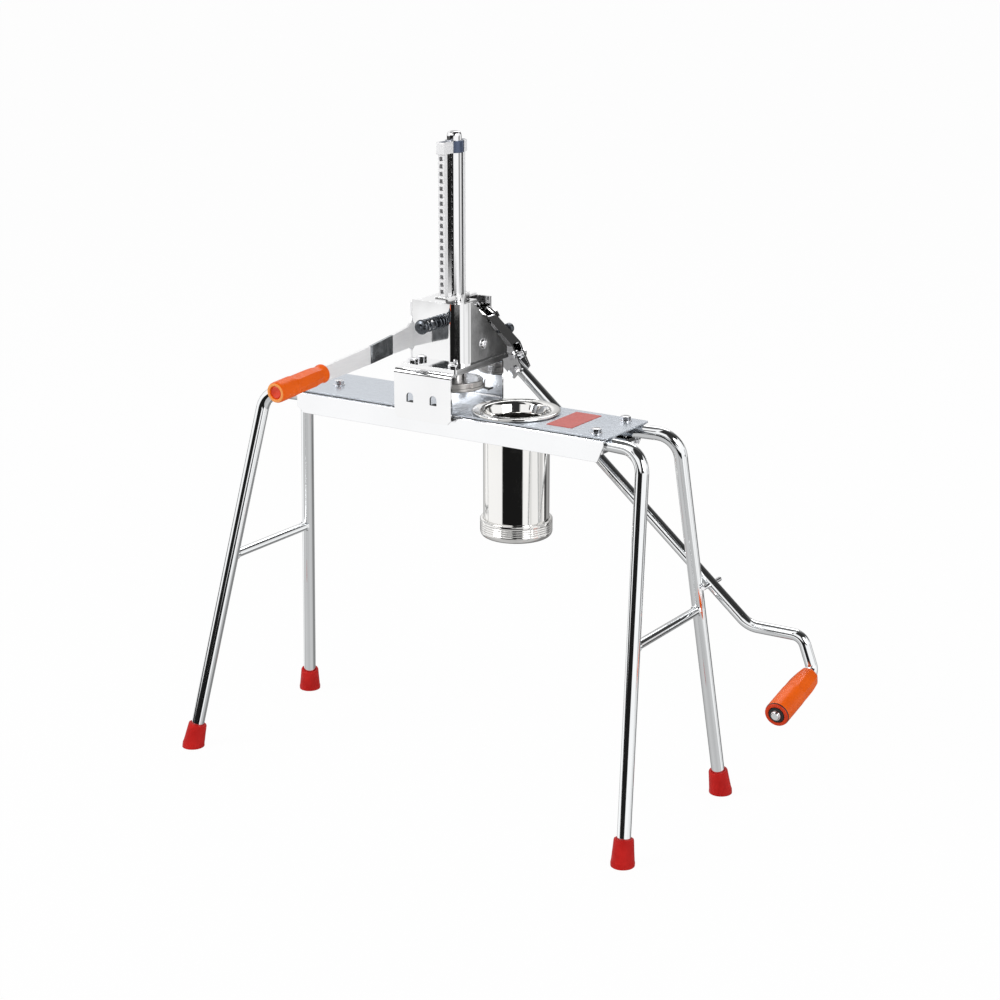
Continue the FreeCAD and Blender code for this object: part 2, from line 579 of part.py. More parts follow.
grip.Placement = FreeCAD.Placement(g0, FreeCAD.Rotation(V(0, 0, 1), gdir))
grip = grip.cut(OUT["arm_plate"].translated(V(-SHIFT_X, -SHIFT_Y, 0)))
plug0 = g0.add(V(gdir).multiply(HOLD_GRIP_L - 8.0))
grip = grip.cut(rod(6.5, plug0, g1.add(V(gdir).multiply(3.0))))
give("arm_grip", grip)
plug = rod(6.5, plug0, g1.add(V(gdir).multiply(1.0)))
give("grip_plug", plug)

# Rear bracket that carries the lever pivot.
piv = lever_point(0.0, PIVOT_N, LEVER_Y)
half = LEVER_Y - (LEVER_Y - ROD_R - CHEEK_T)
y_f1 = LEVER_Y - half - 2.0
y_f0 = y_f1 - 3.0
y_r0 = LEVER_Y + half + 2.0
y_r1 = y_r0 + 3.0


def bracket_leaf(ya, yb, ztop):
    s = box(SIDE_X1, piv.x, ya, yb, 507.4, ztop)
    s = s.fuse(rod(12.0, V(piv.x, ya, piv.z), V(piv.x, yb, piv.z)))
    return s


rear = fuse([bracket_leaf(y_f0, y_f1, 531.4), bracket_leaf(y_r0, y_r1, 545.0)])
rear = rear.fuse(box(SIDE_X1, SIDE_X1 + 1.6, y_f0, y_r1, 507.4, 545.0)).removeSplitter()
rear = rear.cut(rod(PIVOT_R, V(piv.x, 50, piv.z), V(piv.x, 120, piv.z)))
give("rear_bracket", rear)
pb = fuse([rod(PIVOT_R, V(piv.x, y_f0 - 6.0, piv.z), V(piv.x, y_r1 + 1.0, piv.z)),
           hexagon(V(piv.x, y_r1, piv.z), V(0, 1, 0), 13.0, 5.0)])
give("pivot_bolt", pb)
nut = hexagon(V(piv.x, y_f0, piv.z), V(0, -1, 0), 13.0, 5.0)
give("pivot_nut", nut.cut(rod(PIVOT_R, V(piv.x, 50, piv.z), V(piv.x, 100, piv.z))))

# Ram.
ram = rod(RAM_R, V(RAM_X, 0, PISTON_BOTTOM + 4.0), V(RAM_X, 0, RAM_TOP))
crown = [e for e in ram.Edges if e.Curve.TypeId == "Part::GeomCircle" and e.Curve.Center.z > RAM_TOP - 1]
give("ram_rod", ram.makeFillet(5.0, crown))
for name, ya, yb in (("front_rack", RACK_F0, RACK_F1), ("rear_rack", RACK_B0, RACK_B1)):
    s = box(RAM_X - RACK_HALF_X, RAM_X + RACK_HALF_X, ya, yb, PISTON_TOP, CLIP_Z1 - 2.5)
    holes = []
    for k in range(-9, 19):
        z = RACK_Z_REF + k * RACK_PITCH
        hw = RACK_SLOT / 2.0
        slot = box(RAM_X - hw, RAM_X + hw, ya - 1, yb + 1, z - hw, z + hw)
        sides = [e for e in slot.Edges if abs(e.Vertexes[0].Y - e.Vertexes[1].Y) > 1.0]
        holes.append(slot.makeFillet(RACK_SLOT_R, sides))
    give(name, s.cut(holes))
clip = box(RAM_X - 5.3, RAM_X + 5.3, RACK_F0 - 1.8, RACK_B1 + 1.8, CLIP_Z0, CLIP_Z1)
clip = clip.fuse(rod(RAM_R + 2.6, V(RAM_X, 0, CLIP_Z0), V(RAM_X, 0, CLIP_Z1))).removeSplitter()
clip = clip.cut(rod(RAM_R, V(RAM_X, 0, CLIP_Z0 - 5.0), V(RAM_X, 0, RAM_TOP)))
for ya, yb in ((RACK_F0, RACK_F1), (RACK_B0, RACK_B1)):
    clip = clip.cut(box(RAM_X - RACK_HALF_X, RAM_X + RACK_HALF_X, ya, yb, CLIP_Z0 - 5.0, CLIP_Z1 - 2.5))
give("top_clip", clip)
disc = rod(PISTON_R - 0.8, V(RAM_X, 0, PISTON_BOTTOM + 4.0), V(RAM_X, 0, PISTON_TOP))
top_edge = [e for e in disc.Edges if e.Curve.TypeId == "Part::GeomCircle"
            and e.Curve.Center.z > PISTON_TOP - 1]
disc = disc.makeFillet(1.5, top_edge)
land = rod(PISTON_R, V(RAM_X, 0, PISTON_BOTTOM), V(RAM_X, 0, PISTON_BOTTOM + 4.0))
land = land.makeFillet(1.2, [e for e in land.Edges if e.Curve.TypeId == "Part::GeomCircle"])
blind = rod(RAM_R, V(RAM_X, 0, PISTON_BOTTOM + 4.0), V(RAM_X, 0, PISTON_TOP + 5.0))
give("piston", fuse([disc, land]).cut(blind))

# Holding pin, its bush and the visible spring.
bush = rod(5.2, V(RAM_X, CASE_Y - 7.0, PIN_Z), V(RAM_X, CASE_Y, PIN_Z))
give("pin_bush", bush.cut(rod(PIN_R + PIN_FIT, V(RAM_X, CASE_Y - 9, PIN_Z), V(RAM_X, CASE_Y + 1, PIN_Z))))
pin = fuse([rod(PIN_R, V(RAM_X, RACK_F0 - 0.5, PIN_Z), V(RAM_X, -64.0, PIN_Z)),
            dome_head(V(RAM_X, -63.0, PIN_Z), V(0, -1, 0), 8.2, 9.0)])
give("holding_pin", pin)


def arc_to(p, t, q):
    # arc from p along the unit direction t that ends in q
    chord = q.sub(p)
    across = chord.sub(V(t).multiply(chord.dot(t)))
    across.normalize()
    radius = chord.dot(chord) / (2.0 * chord.dot(across))
    centre = p.add(V(across).multiply(radius))
    toward = p.add(q).multiply(0.5).sub(centre)
    toward.normalize()
    return Part.Arc(p, centre.add(toward.multiply(radius)), q).toShape()


def biarc(p, t, q, u):
    # two arcs from p along t to q along u, meeting with one common direction
    v = q.sub(p)
    s = t.add(u)
    a = 2.0 * (1.0 - t.dot(u))
    b = 2.0 * v.dot(s)
    c = -v.dot(v)
    d = (-b + math.sqrt(b * b - 4.0 * a * c)) / (2.0 * a)
    m0 = p.add(V(t).multiply(d))
    m1 = q.sub(V(u).multiply(d))
    j = m0.add(m1).multiply(0.5)
    w = m1.sub(m0)
    w.normalize()
    return [arc_to(p, t, j), arc_to(j, w, q)]


def coil(cx, cz, y_near, y_far, turns, rc, rw):
    # spring along Y on pairs of arcs, a quarter turn each, swept by a round wire
    n = int(round(turns * 4.0))
    span = y_far - y_near

    def at(t):
        a = 2.0 * math.pi * turns * t
        return V(cx + rc * math.cos(a), y_near + span * t, cz + rc * math.sin(a))

    def along(t):
        a = 2.0 * math.pi * turns * t
        k = 2.0 * math.pi * turns * rc
        d = V(-k * math.sin(a), span, k * math.cos(a))
        d.normalize()
        return d

    arcs = []
    for i in range(n):
        t0 = i / n
        t1 = (i + 1.0) / n
        arcs = arcs + biarc(at(t0), along(t0), at(t1), along(t1))
    path = Part.Wire(arcs)
    pts = [at(i / 400.0) for i in range(401)]
    skip = int(400.0 / turns * 0.5)
    least = min(pts[i].sub(pts[j]).Length for i in range(401) for j in range(i + skip, 401, 2))
    print("least gap of the spring to itself, mm:", round(least - 2.0 * rw, 2))
    d = along(0.0)
    prof = Part.Wire([Part.makeCircle(rw, at(0.0), d)])
    sh = Part.BRepOffsetAPI.MakePipeShell(path)
    sh.add(prof)
    sh.build()
    sh.makeSolid()
    return sh.shape()


SPRING_Y0 = CASE_Y - COIL_WIRE - 0.5
SPRING_Y1 = -63.0 + COIL_WIRE + 0.5
give("holding_spring", coil(RAM_X, PIN_Z, SPRING_Y0, SPRING_Y1, COIL_TURNS, COIL_R, COIL_WIRE))

# Lever: forked head, rod, cross pin.
back = -14.0


def cheek(ya, yb):
    pts = [(back, -1.0), (back + 9.0, -9.0), (SOCKET_END, -9.0), (SOCKET_END, 7.5), (46.0, WEB_N),
           (4.0, WEB_N), (back + 4.0, WEB_N - 2.0), (back, WEB_N - 6.0)]
    q = [lever_point(s, n, ya) for s, n in pts]
    q.append(q[0])
    return Part.Face(Part.makePolygon(q)).extrude(V(0, yb - ya, 0))


ch_f = cheek(LEVER_Y - ROD_R - CHEEK_T, LEVER_Y - ROD_R)
ch_r = cheek(LEVER_Y + ROD_R, LEVER_Y + ROD_R + CHEEK_T)
web_pts = ((4.0, WEB_N - 2.5), (46.0, WEB_N - 2.5), (46.0, WEB_N), (4.0, WEB_N))
q = [lever_point(s, n, LEVER_Y - ROD_R) for s, n in web_pts]
q.append(q[0])
web = Part.Face(Part.makePolygon(q)).extrude(V(0, 2.0 * ROD_R, 0))
head = fuse([ch_f, ch_r, web])
head = head.cut(rod(PIVOT_R + 0.05, V(piv.x, 50, piv.z), V(piv.x, 120, piv.z)))
DRIVE_Z = RACK_Z_REF - 8.0 * RACK_PITCH
drive0 = V(RAM_X, 50, DRIVE_Z)
head = head.cut(rod(PIN_R + PIN_FIT, V(RAM_X, 50, DRIVE_Z), V(RAM_X, 120, DRIVE_Z)))
b1 = lever_point(68.0, 0.0, 0.0)
b2 = lever_point(56.0, 10.2, 0.0)
for b in (b1, b2):
    head = head.cut(rod(2.5, V(b.x, 50, b.z), V(b.x, 120, b.z)))
give("lever_head", head)
y_out = LEVER_Y + ROD_R + CHEEK_T
y_in = LEVER_Y - ROD_R - CHEEK_T
for i, b in enumerate((b1, b2)):
    s = fuse([rod(2.5, V(b.x, y_in - 4.5, b.z), V(b.x, y_out + 0.5, b.z)),
              hexagon(V(b.x, y_out, b.z), V(0, 1, 0), 8.5, 4.5),
              hexagon(V(b.x, y_in, b.z), V(0, -1, 0), 8.5, 4.0)])
    give("socket_bolt_" + str(i + 1), s)

k0 = lever_point(30.0, 0.0, LEVER_Y)
k1x = 318.0
k1 = V(k1x, LEVER_Y, LEVER_Z - (k1x - LEVER_X) * math.tan(math.radians(LEVER_ANGLE)))
k2 = V(382.5, LEVER_Y, k1.z + 0.6)
k3 = V(396.8, LEVER_Y, 181.5)
gd = V(0.035, -0.983, -0.18)
gd.normalize()
shoulder = k3.add(V(gd).multiply(10.5))
bar = bent([k0, k1, k2, k3, shoulder], [30.0, 15.0, 9.0], ROD_R)
grip_end = shoulder.add(V(gd).multiply(GRIP_L + 0.6))
spindle = rod(SPINDLE_R, shoulder.sub(V(gd).multiply(2.0)), grip_end.add(V(gd).multiply(2.6)))
bar = bar.fuse(spindle).removeSplitter()
bar = bar.cut(rod(2.5, V(b1.x, 50, b1.z), V(b1.x, 120, b1.z)))
CROSS_S = 396.7
cp = lever_point(CROSS_S, 0.0, LEVER_Y)
bar = bar.cut(rod(2.5, V(cp.x, 50, cp.z), V(cp.x, 120, cp.z)))
give("lever_rod", bar)
give("cross_pin", rod(2.5, V(cp.x, LEVER_Y - 20.0, cp.z), V(cp.x, LEVER_Y + 20.0, cp.z)))
w = rod(8.6, grip_end.sub(V(gd).multiply(1.6)), grip_end.add(V(gd).multiply(0.6)))
give("grip_washer", w.cut(spindle))

# Spinning grip on the end of the lever.
h0 = shoulder.add(V(gd).multiply(0.3))
h1 = shoulder.add(V(gd).multiply(GRIP_L))
h = rod(GRIP_R, h0, h1)
h = h.makeFillet(3.0, [e for e in h.Edges if e.Curve.TypeId == "Part::GeomCircle"])
h = h.cut(rod(SPINDLE_R + 0.05, h0.sub(V(gd).multiply(2)), h1.add(V(gd).multiply(2))))
h = h.cut(rod(9.0, h1.sub(V(gd).multiply(1.4)), h1.add(V(gd).multiply(2))))
give("lever_grip", h)

# Drive pin in the forked head.
knob_y = y_r1 + PIN_TRAVEL + 1.0
dp = fuse([rod(PIN_R, V(RAM_X, RACK_B1 + 0.5, DRIVE_Z), V(RAM_X, knob_y + 1.0, DRIVE_Z)),
           dome_head(V(RAM_X, knob_y, DRIVE_Z), V(0, 1, 0), 6.0, 7.0)])
give("drive_pin", dp)

# Whole size.
lo = [1e9, 1e9, 1e9]
hi = [-1e9, -1e9, -1e9]
for s in OUT.values():
    b = s.optimalBoundingBox(False)
    lo = [min(lo[0], b.XMin), min(lo[1], b.YMin), min(lo[2], b.ZMin)]
    hi = [max(hi[0], b.XMax), max(hi[1], b.YMax), max(hi[2], b.ZMax)]
print("nodes", len(OUT))
print("low", [round(v, 2) for v in lo], "high", [round(v, 2) for v in hi])
print("middle", round(0.5 * (lo[0] + hi[0]), 3), round(0.5 * (lo[1] + hi[1]), 3))
for key, p in (("pivot", piv), ("pin", V(RAM_X, 0, PIN_Z)), ("drive", drive0), ("shoulder", shoulder),
               ("axis", gd), ("cross", cp), ("grip_end", grip_end)):
    print(key, round(p.x, 3), round(p.y, 3), round(p.z, 3))
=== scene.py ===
import bmesh
import bpy
import json
import math
from mathutils import Matrix, Vector


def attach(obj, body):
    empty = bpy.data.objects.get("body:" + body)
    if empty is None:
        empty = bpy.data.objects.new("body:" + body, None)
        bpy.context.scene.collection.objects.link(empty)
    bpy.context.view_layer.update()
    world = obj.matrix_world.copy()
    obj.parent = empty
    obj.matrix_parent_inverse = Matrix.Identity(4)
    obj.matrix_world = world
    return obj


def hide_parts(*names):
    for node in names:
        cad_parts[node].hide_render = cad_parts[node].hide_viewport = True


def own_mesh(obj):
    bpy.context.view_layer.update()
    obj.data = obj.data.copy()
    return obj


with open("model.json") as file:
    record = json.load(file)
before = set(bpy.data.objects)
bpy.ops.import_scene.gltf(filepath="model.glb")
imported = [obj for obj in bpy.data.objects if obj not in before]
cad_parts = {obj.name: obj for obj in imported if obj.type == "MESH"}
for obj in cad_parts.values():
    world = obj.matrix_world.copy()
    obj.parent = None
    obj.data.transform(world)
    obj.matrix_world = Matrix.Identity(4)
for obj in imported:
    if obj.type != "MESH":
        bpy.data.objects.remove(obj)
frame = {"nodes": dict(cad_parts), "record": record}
nodes = frame["nodes"]
node_body = {node: body for body, held in frame["record"]["behaviour"]["bodies"].items() for node in held}
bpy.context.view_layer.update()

# Studio. A pale floor without an edge, soft lamps, and a white surround. Polished metal shows the
# dark and grey cards that a photographer hangs round chrome, set out in bands of height.
CAMERA_PLACE = (1.27119, -1.87001, 1.02682)
CAMERA_TURN = (1.2823, 0.0, 0.5773)
CAMERA_LENS = 78.24
CAMERA_SENSOR = 36.0
FLOOR_RADIUS = 45.0
FLOOR_WHITE = (0.86, 0.86, 0.87, 1.0)
FLOOR_GLOW = 0.97    # share of pure white in the floor that the camera sees
SURROUND = 0.50      # strength of the surround on matt surfaces
BAND_EDGE = 0.01     # half the soft edge between two bands, as a share of the height
CARDS = (            # lowest elevation of a band, then azimuth and grey along it; azimuth 0 is the front
    (-90.0, ((-180, 0.22), (-115, 0.24), (-98, 0.44), (-40, 0.58), (30, 0.50), (70, 0.58), (112, 0.52),
             (128, 0.24), (180, 0.22))),
    (-26.0, ((-180, 0.28), (-148, 0.30), (-118, 0.55), (-98, 1.0), (-19, 1.0), (-16, 0.010), (53, 0.010),
             (56, 1.0), (78, 1.0), (82, 0.72), (90, 0.92), (114, 0.95), (122, 0.60), (134, 0.66), (139, 1.0),
             (145.2, 1.0), (145.8, 0.035), (158, 0.085), (166, 0.40), (180, 0.28))),
    (-10.8, ((-180, 0.30), (-149, 0.30), (-145, 0.012), (14, 0.012), (21, 1.0), (98, 1.0), (104, 0.16),
             (118, 0.30), (132, 0.45), (138, 1.0), (150, 1.0), (158, 0.45), (180, 0.30))),
    (-6.3, ((-180, 0.40), (-120, 0.30), (-100, 0.95), (-44, 1.0), (-39, 0.012), (30, 0.012), (35, 1.0),
            (66, 1.0), (110, 1.0), (118, 0.45), (140, 0.9), (180, 0.40))),
    (9.0, ((-180, 0.42), (-158, 0.42), (-149.5, 0.56), (-144, 1.0), (16, 1.0), (22, 0.03), (60, 0.03),
           (66, 1.0), (138, 1.0), (146, 0.05), (176, 0.05), (180, 0.42))),
    (26.0, ((-180, 0.50), (-150, 0.60), (-140, 1.0), (-50, 1.0), (-44, 0.05), (-20, 0.05), (-16, 1.0),
            (16, 1.0), (22, 0.03), (60, 0.03), (66, 1.0), (138, 1.0), (146, 0.05), (176, 0.05),
            (180, 0.50))),
    (42.0, ((-180, 0.10), (-60, 0.14), (-52, 1.0), (-14, 1.0), (-6, 0.03), (134, 0.03), (150, 0.10),
            (180, 0.10))),
)
LAMP_AIM = (0.0, 0.0, 0.35)
LAMPS = (            # name, place, size, watts
    ("key_lamp", (-1.5, -1.9, 2.1), 1.3, 34.0),
    ("fill_lamp", (2.0, -0.6, 1.5), 1.4, 13.0),
    ("rear_lamp", (-0.6, 2.0, 2.3), 1.6, 15.0),
)

camera = bpy.data.objects.new("camera", bpy.data.cameras.new("camera"))
bpy.context.scene.collection.objects.link(camera)
camera.location = CAMERA_PLACE
camera.rotation_euler = CAMERA_TURN
camera.data.lens = CAMERA_LENS
camera.data.sensor_width = CAMERA_SENSOR
bpy.context.scene.camera = camera
bpy.context.scene.view_settings.view_transform = "Standard"


def reckon(tree, operation, first, second=None):
    step = tree.nodes.new("ShaderNodeMath")
    step.operation = operation
    for value, socket in zip((first, second), step.inputs):
        if isinstance(value, (int, float)):
            socket.default_value = value
        elif value is not None:
            tree.links.new(value, socket)
    return step.outputs[0]


world = bpy.data.worlds.new("surround")
world.use_nodes = True
bpy.context.scene.world = world
tree = world.node_tree
rays = tree.nodes.new("ShaderNodeLightPath")
shown = reckon(tree, "MAXIMUM", rays.outputs["Is Camera Ray"], rays.outputs["Is Glossy Ray"])
shown = reckon(tree, "MAXIMUM", shown, rays.outputs["Is Transmission Ray"])
level = tree.nodes.new("ShaderNodeMapRange")
level.inputs["To Min"].default_value = SURROUND
level.inputs["To Max"].default_value = 1.0
tree.links.new(shown, level.inputs["Value"])
tree.links.new(level.outputs["Result"], tree.nodes["Background"].inputs["Strength"])
coord = tree.nodes.new("ShaderNodeTexCoord")
split = tree.nodes.new("ShaderNodeSeparateXYZ")
tree.links.new(coord.outputs["Generated"], split.inputs[0])
front = reckon(tree, "MULTIPLY", split.outputs["Y"], -1.0)
azimuth = reckon(tree, "ARCTAN2", split.outputs["X"], front)
turn = reckon(tree, "ADD", reckon(tree, "DIVIDE", azimuth, math.tau), 0.5)
carded = None
for foot, stops in CARDS:
    ramp = tree.nodes.new("ShaderNodeValToRGB")
    steps = ramp.color_ramp.elements
    for index, (angle, grey) in enumerate(stops):
        if index < 2:
            stop = steps[index]
            stop.position = angle / 360.0 + 0.5
        else:
            stop = steps.new(angle / 360.0 + 0.5)
        stop.color = (grey, grey, grey, 1.0)
    tree.links.new(turn, ramp.inputs["Fac"])
    if carded is None:
        carded = ramp.outputs["Color"]
        continue
    edge = math.sin(math.radians(foot))
    rise = tree.nodes.new("ShaderNodeMapRange")
    rise.inputs["From Min"].default_value = edge - BAND_EDGE
    rise.inputs["From Max"].default_value = edge + BAND_EDGE
    tree.links.new(split.outputs["Z"], rise.inputs["Value"])
    change = tree.nodes.new("ShaderNodeMixRGB")
    tree.links.new(rise.outputs["Result"], change.inputs["Fac"])
    tree.links.new(carded, change.inputs[1])
    tree.links.new(ramp.outputs["Color"], change.inputs[2])
    carded = change.outputs[0]
choice = tree.nodes.new("ShaderNodeMixRGB")
choice.inputs[1].default_value = (1.0, 1.0, 1.0, 1.0)
tree.links.new(rays.outputs["Is Glossy Ray"], choice.inputs["Fac"])
tree.links.new(carded, choice.inputs[2])
tree.links.new(choice.outputs[0], tree.nodes["Background"].inputs["Color"])

bm = bmesh.new()
bmesh.ops.create_circle(bm, cap_ends=True, segments=64, radius=FLOOR_RADIUS)
mesh = bpy.data.meshes.new("floor")
bm.to_mesh(mesh)
bm.free()
floor = bpy.data.objects.new("floor", mesh)
bpy.context.scene.collection.objects.link(floor)
paint = bpy.data.materials.new("pale floor")
paint.use_nodes = True
tree = paint.node_tree
tree.nodes["Principled BSDF"].inputs["Base Color"].default_value = FLOOR_WHITE
tree.nodes["Principled BSDF"].inputs["Roughness"].default_value = 0.9
tree.nodes["Principled BSDF"].inputs["Specular IOR Level"].default_value = 0.0
rays = tree.nodes.new("ShaderNodeLightPath")
shown = reckon(tree, "MAXIMUM", rays.outputs["Is Camera Ray"], rays.outputs["Is Transmission Ray"])
shown = reckon(tree, "MULTIPLY", shown, FLOOR_GLOW)
glow = tree.nodes.new("ShaderNodeEmission")
blend = tree.nodes.new("ShaderNodeMixShader")
tree.links.new(shown, blend.inputs[0])
tree.links.new(tree.nodes["Principled BSDF"].outputs[0], blend.inputs[1])
tree.links.new(glow.outputs[0], blend.inputs[2])
tree.links.new(blend.outputs[0], tree.nodes["Material Output"].inputs["Surface"])
floor.data.materials.append(paint)
floor.visible_glossy = False

for name, place, size, watts in LAMPS:
    lamp = bpy.data.objects.new(name, bpy.data.lights.new(name, "AREA"))
    bpy.context.scene.collection.objects.link(lamp)
    lamp.location = place
    lamp.rotation_euler = (Vector(LAMP_AIM) - Vector(place)).to_track_quat("-Z", "Y").to_euler()
    lamp.data.shape = "DISK"
    lamp.data.size = size
    lamp.data.energy = watts

# Bench. A folded sheet of steel with a satin top, brushed along its length, on two chromed side rails.
# Straps under the leg tubes clamp it with three bolts.
MM = 0.001
BENCH_CENTRE = (-41.60, 71.915)
BENCH_TOP = 443.0
PLATE_T = 2.0
TUBE_D = 15.0        # leg tubes, which lie between the sheet and the straps
STRAP_T = 4.0
EDGE = 0.35          # break of a sheared or folded steel edge
BOLT_R = 2.9         # shank of the bench, base and side bolts
BOLT_HEX = 10.0      # width of their heads across the flats


def at(x, y, z):
    return Vector((BENCH_CENTRE[0] + x, BENCH_CENTRE[1] + y, z)) * MM


def along(start, direction):
    return Matrix.Translation(start) @ Vector(direction).to_track_quat("Z", "Y").to_matrix().to_4x4()


def new_material(name, colour, metallic, roughness):
    made = bpy.data.materials.new(name)
    made.use_nodes = True
    shader = made.node_tree.nodes["Principled BSDF"]
    shader.inputs["Base Color"].default_value = (*colour, 1.0)
    shader.inputs["Metallic"].default_value = metallic
    shader.inputs["Roughness"].default_value = roughness
    return made


def mottle(made, scale, stretch=(1.0, 1.0, 1.0), detail=3.0):
    tree = made.node_tree
    coord = tree.nodes.new("ShaderNodeTexCoord")
    mapping = tree.nodes.new("ShaderNodeMapping")
    mapping.inputs["Scale"].default_value = stretch
    noise = tree.nodes.new("ShaderNodeTexNoise")
    noise.inputs["Scale"].default_value = scale
    noise.inputs["Detail"].default_value = detail
    tree.links.new(coord.outputs["Object"], mapping.inputs["Vector"])
    tree.links.new(mapping.outputs["Vector"], noise.inputs["Vector"])
    return noise.outputs["Fac"]


def drive(made, source, socket, low, high, start=0.3, end=0.7):
    tree = made.node_tree
    ramp = tree.nodes.new("ShaderNodeMapRange")
    ramp.inputs["From Min"].default_value = start
    ramp.inputs["From Max"].default_value = end
    ramp.inputs["To Min"].default_value = low
    ramp.inputs["To Max"].default_value = high
    tree.links.new(source, ramp.inputs["Value"])
    tree.links.new(ramp.outputs["Result"], tree.nodes["Principled BSDF"].inputs[socket])


def colours(made, source, dark, pale, start=0.3, end=0.7):
    tree = made.node_tree
    ramp = tree.nodes.new("ShaderNodeValToRGB")
    ramp.color_ramp.elements[0].position = start
    ramp.color_ramp.elements[0].color = (*dark, 1.0)
    ramp.color_ramp.elements[1].position = end
    ramp.color_ramp.elements[1].color = (*pale, 1.0)
    tree.links.new(source, ramp.inputs["Fac"])
    tree.links.new(ramp.outputs["Color"], tree.nodes["Principled BSDF"].inputs["Base Color"])


def relief(made, source, strength, depth):
    tree = made.node_tree
    bump = tree.nodes.new("ShaderNodeBump")
    bump.inputs["Strength"].default_value = strength
    bump.inputs["Distance"].default_value = depth
    tree.links.new(source, bump.inputs["Height"])
    normal = tree.nodes["Principled BSDF"].inputs["Normal"]
    if normal.is_linked:
        tree.links.new(normal.links[0].from_socket, bump.inputs["Normal"])
    tree.links.new(bump.outputs["Normal"], normal)


def chrome(name, colour, wave, stretch=(1.0, 1.0, 1.0)):
    made = new_material(name, colour, 1.0, 0.06)
    drive(made, mottle(made, 28.0), "Roughness", 0.03, 0.085)
    haze = mottle(made, 9.0)
    colours(made, haze, tuple(0.95 * c for c in colour), colour)
    relief(made, mottle(made, 7.0, stretch, 1.0), wave, 0.004)
    relief(made, mottle(made, 900.0, stretch, 2.0), 0.03, 0.0001)
    return made


def verts_of(grown):
    return [g for g in grown if isinstance(g, bmesh.types.BMVert)]


def edges_of(grown):
    return [g for g in grown if isinstance(g, bmesh.types.BMEdge)]


def soften(part, width, segments=2, angle=28.0):
    sharp = [e for e in part.edges
             if len(e.link_faces) == 2 and e.calc_face_angle(0.0) > math.radians(angle)]
    bmesh.ops.bevel(part, geom=sharp, offset=width * MM, offset_type="OFFSET", segments=segments,
                    profile=0.5, affect="EDGES", material=-1, clamp_overlap=True)


def joined(bm, part, place=Matrix()):
    bmesh.ops.remove_doubles(part, verts=part.verts, dist=1e-6)
    bmesh.ops.recalc_face_normals(part, faces=part.faces)
    bmesh.ops.transform(part, matrix=place, verts=part.verts)
    carrier = bpy.data.meshes.new("carrier")
    part.to_mesh(carrier)
    part.free()
    bm.from_mesh(carrier)
    bpy.data.meshes.remove(carrier)


def finished(name, bm, made, *stands_for, smooth=38.0):
    mesh = bpy.data.meshes.new(name)
    bm.to_mesh(mesh)
    bm.free()
    mesh.shade_smooth()
    mesh.set_sharp_from_angle(angle=math.radians(smooth))
    piece = bpy.data.objects.new(name, mesh)
    bpy.context.scene.collection.objects.link(piece)
    for finish in made if isinstance(made, tuple) else (made,):
        mesh.materials.append(finish)
    even = piece.modifiers.new("even shading", "WEIGHTED_NORMAL")
    even.keep_sharp = True
    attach(piece, node_body[stands_for[0]])
    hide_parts(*stands_for)
    return piece


def pressed(node, made, width=EDGE, segments=2):
    # the solid of a sheared and folded sheet, merged, with its edges broken
    part = bmesh.new()
    part.from_mesh(nodes[node].data)
    bmesh.ops.remove_doubles(part, verts=part.verts, dist=2e-6)
    bmesh.ops.dissolve_limit(part, angle_limit=math.radians(0.5), use_dissolve_boundaries=False,
                             verts=part.verts, edges=part.edges)
    soften(part, width, segments)
    return finished("formed_" + node, part, made, node)


def turned(bm, profile, place=Matrix(), steps=72, closed=True, edge=0.0):
    # profile holds radius and height in millimetres; the shape is spun about the local Z
    part = bmesh.new()
    points = [part.verts.new((radius * MM, 0.0, height * MM)) for radius, height in profile]
    sides = [part.edges.new(pair) for pair in zip(points, points[1:])]
    if closed:
        sides.append(part.edges.new((points[-1], points[0])))
    bmesh.ops.spin(part, geom=points + sides, cent=(0, 0, 0), axis=(0, 0, 1), angle=math.tau,
                   steps=steps, use_merge=True)
    bmesh.ops.remove_doubles(part, verts=part.verts, dist=1e-6)
    bmesh.ops.recalc_face_normals(part, faces=part.faces)
    if edge:
        soften(part, edge)
    joined(bm, part, place)


def hex_bar(bm, place, across, height, bore=0.0):
    part = bmesh.new()
    bmesh.ops.create_circle(part, cap_ends=True, segments=6, radius=across * MM / math.sqrt(3.0))
    up = bmesh.ops.extrude_face_region(part, geom=list(part.faces))["geom"]
    bmesh.ops.translate(part, verts=verts_of(up), vec=(0, 0, height * MM))
    bmesh.ops.recalc_face_normals(part, faces=part.faces)
    soften(part, 0.09 * height, 2)
    joined(bm, part, place)
    crown = 0.43 * across
    turned(bm, [(0.0, height - 0.3), (crown, height - 0.3), (crown - 0.2, height + 0.25),
                (crown - 1.0, height + 0.45), (0.0, height + 0.45)], place, 32, False)


def threaded(bm, place, radius, length, pitch=1.0):
    profile = [(0.0, 0.0)]
    for turn in range(int(length / pitch)):
        profile += [(radius, turn * pitch), (radius, (turn + 0.25) * pitch),
                    (radius - 0.45, (turn + 0.5) * pitch), (radius - 0.45, (turn + 0.75) * pitch)]
    profile += [(radius - 0.6, length), (0.0, length)]
    turned(bm, profile, place, 24, False)


def rod(bm, place, radius, low, high, steps=24):
    turned(bm, [(0.0, low), (radius, low), (radius, high), (0.0, high)], place, steps, False)


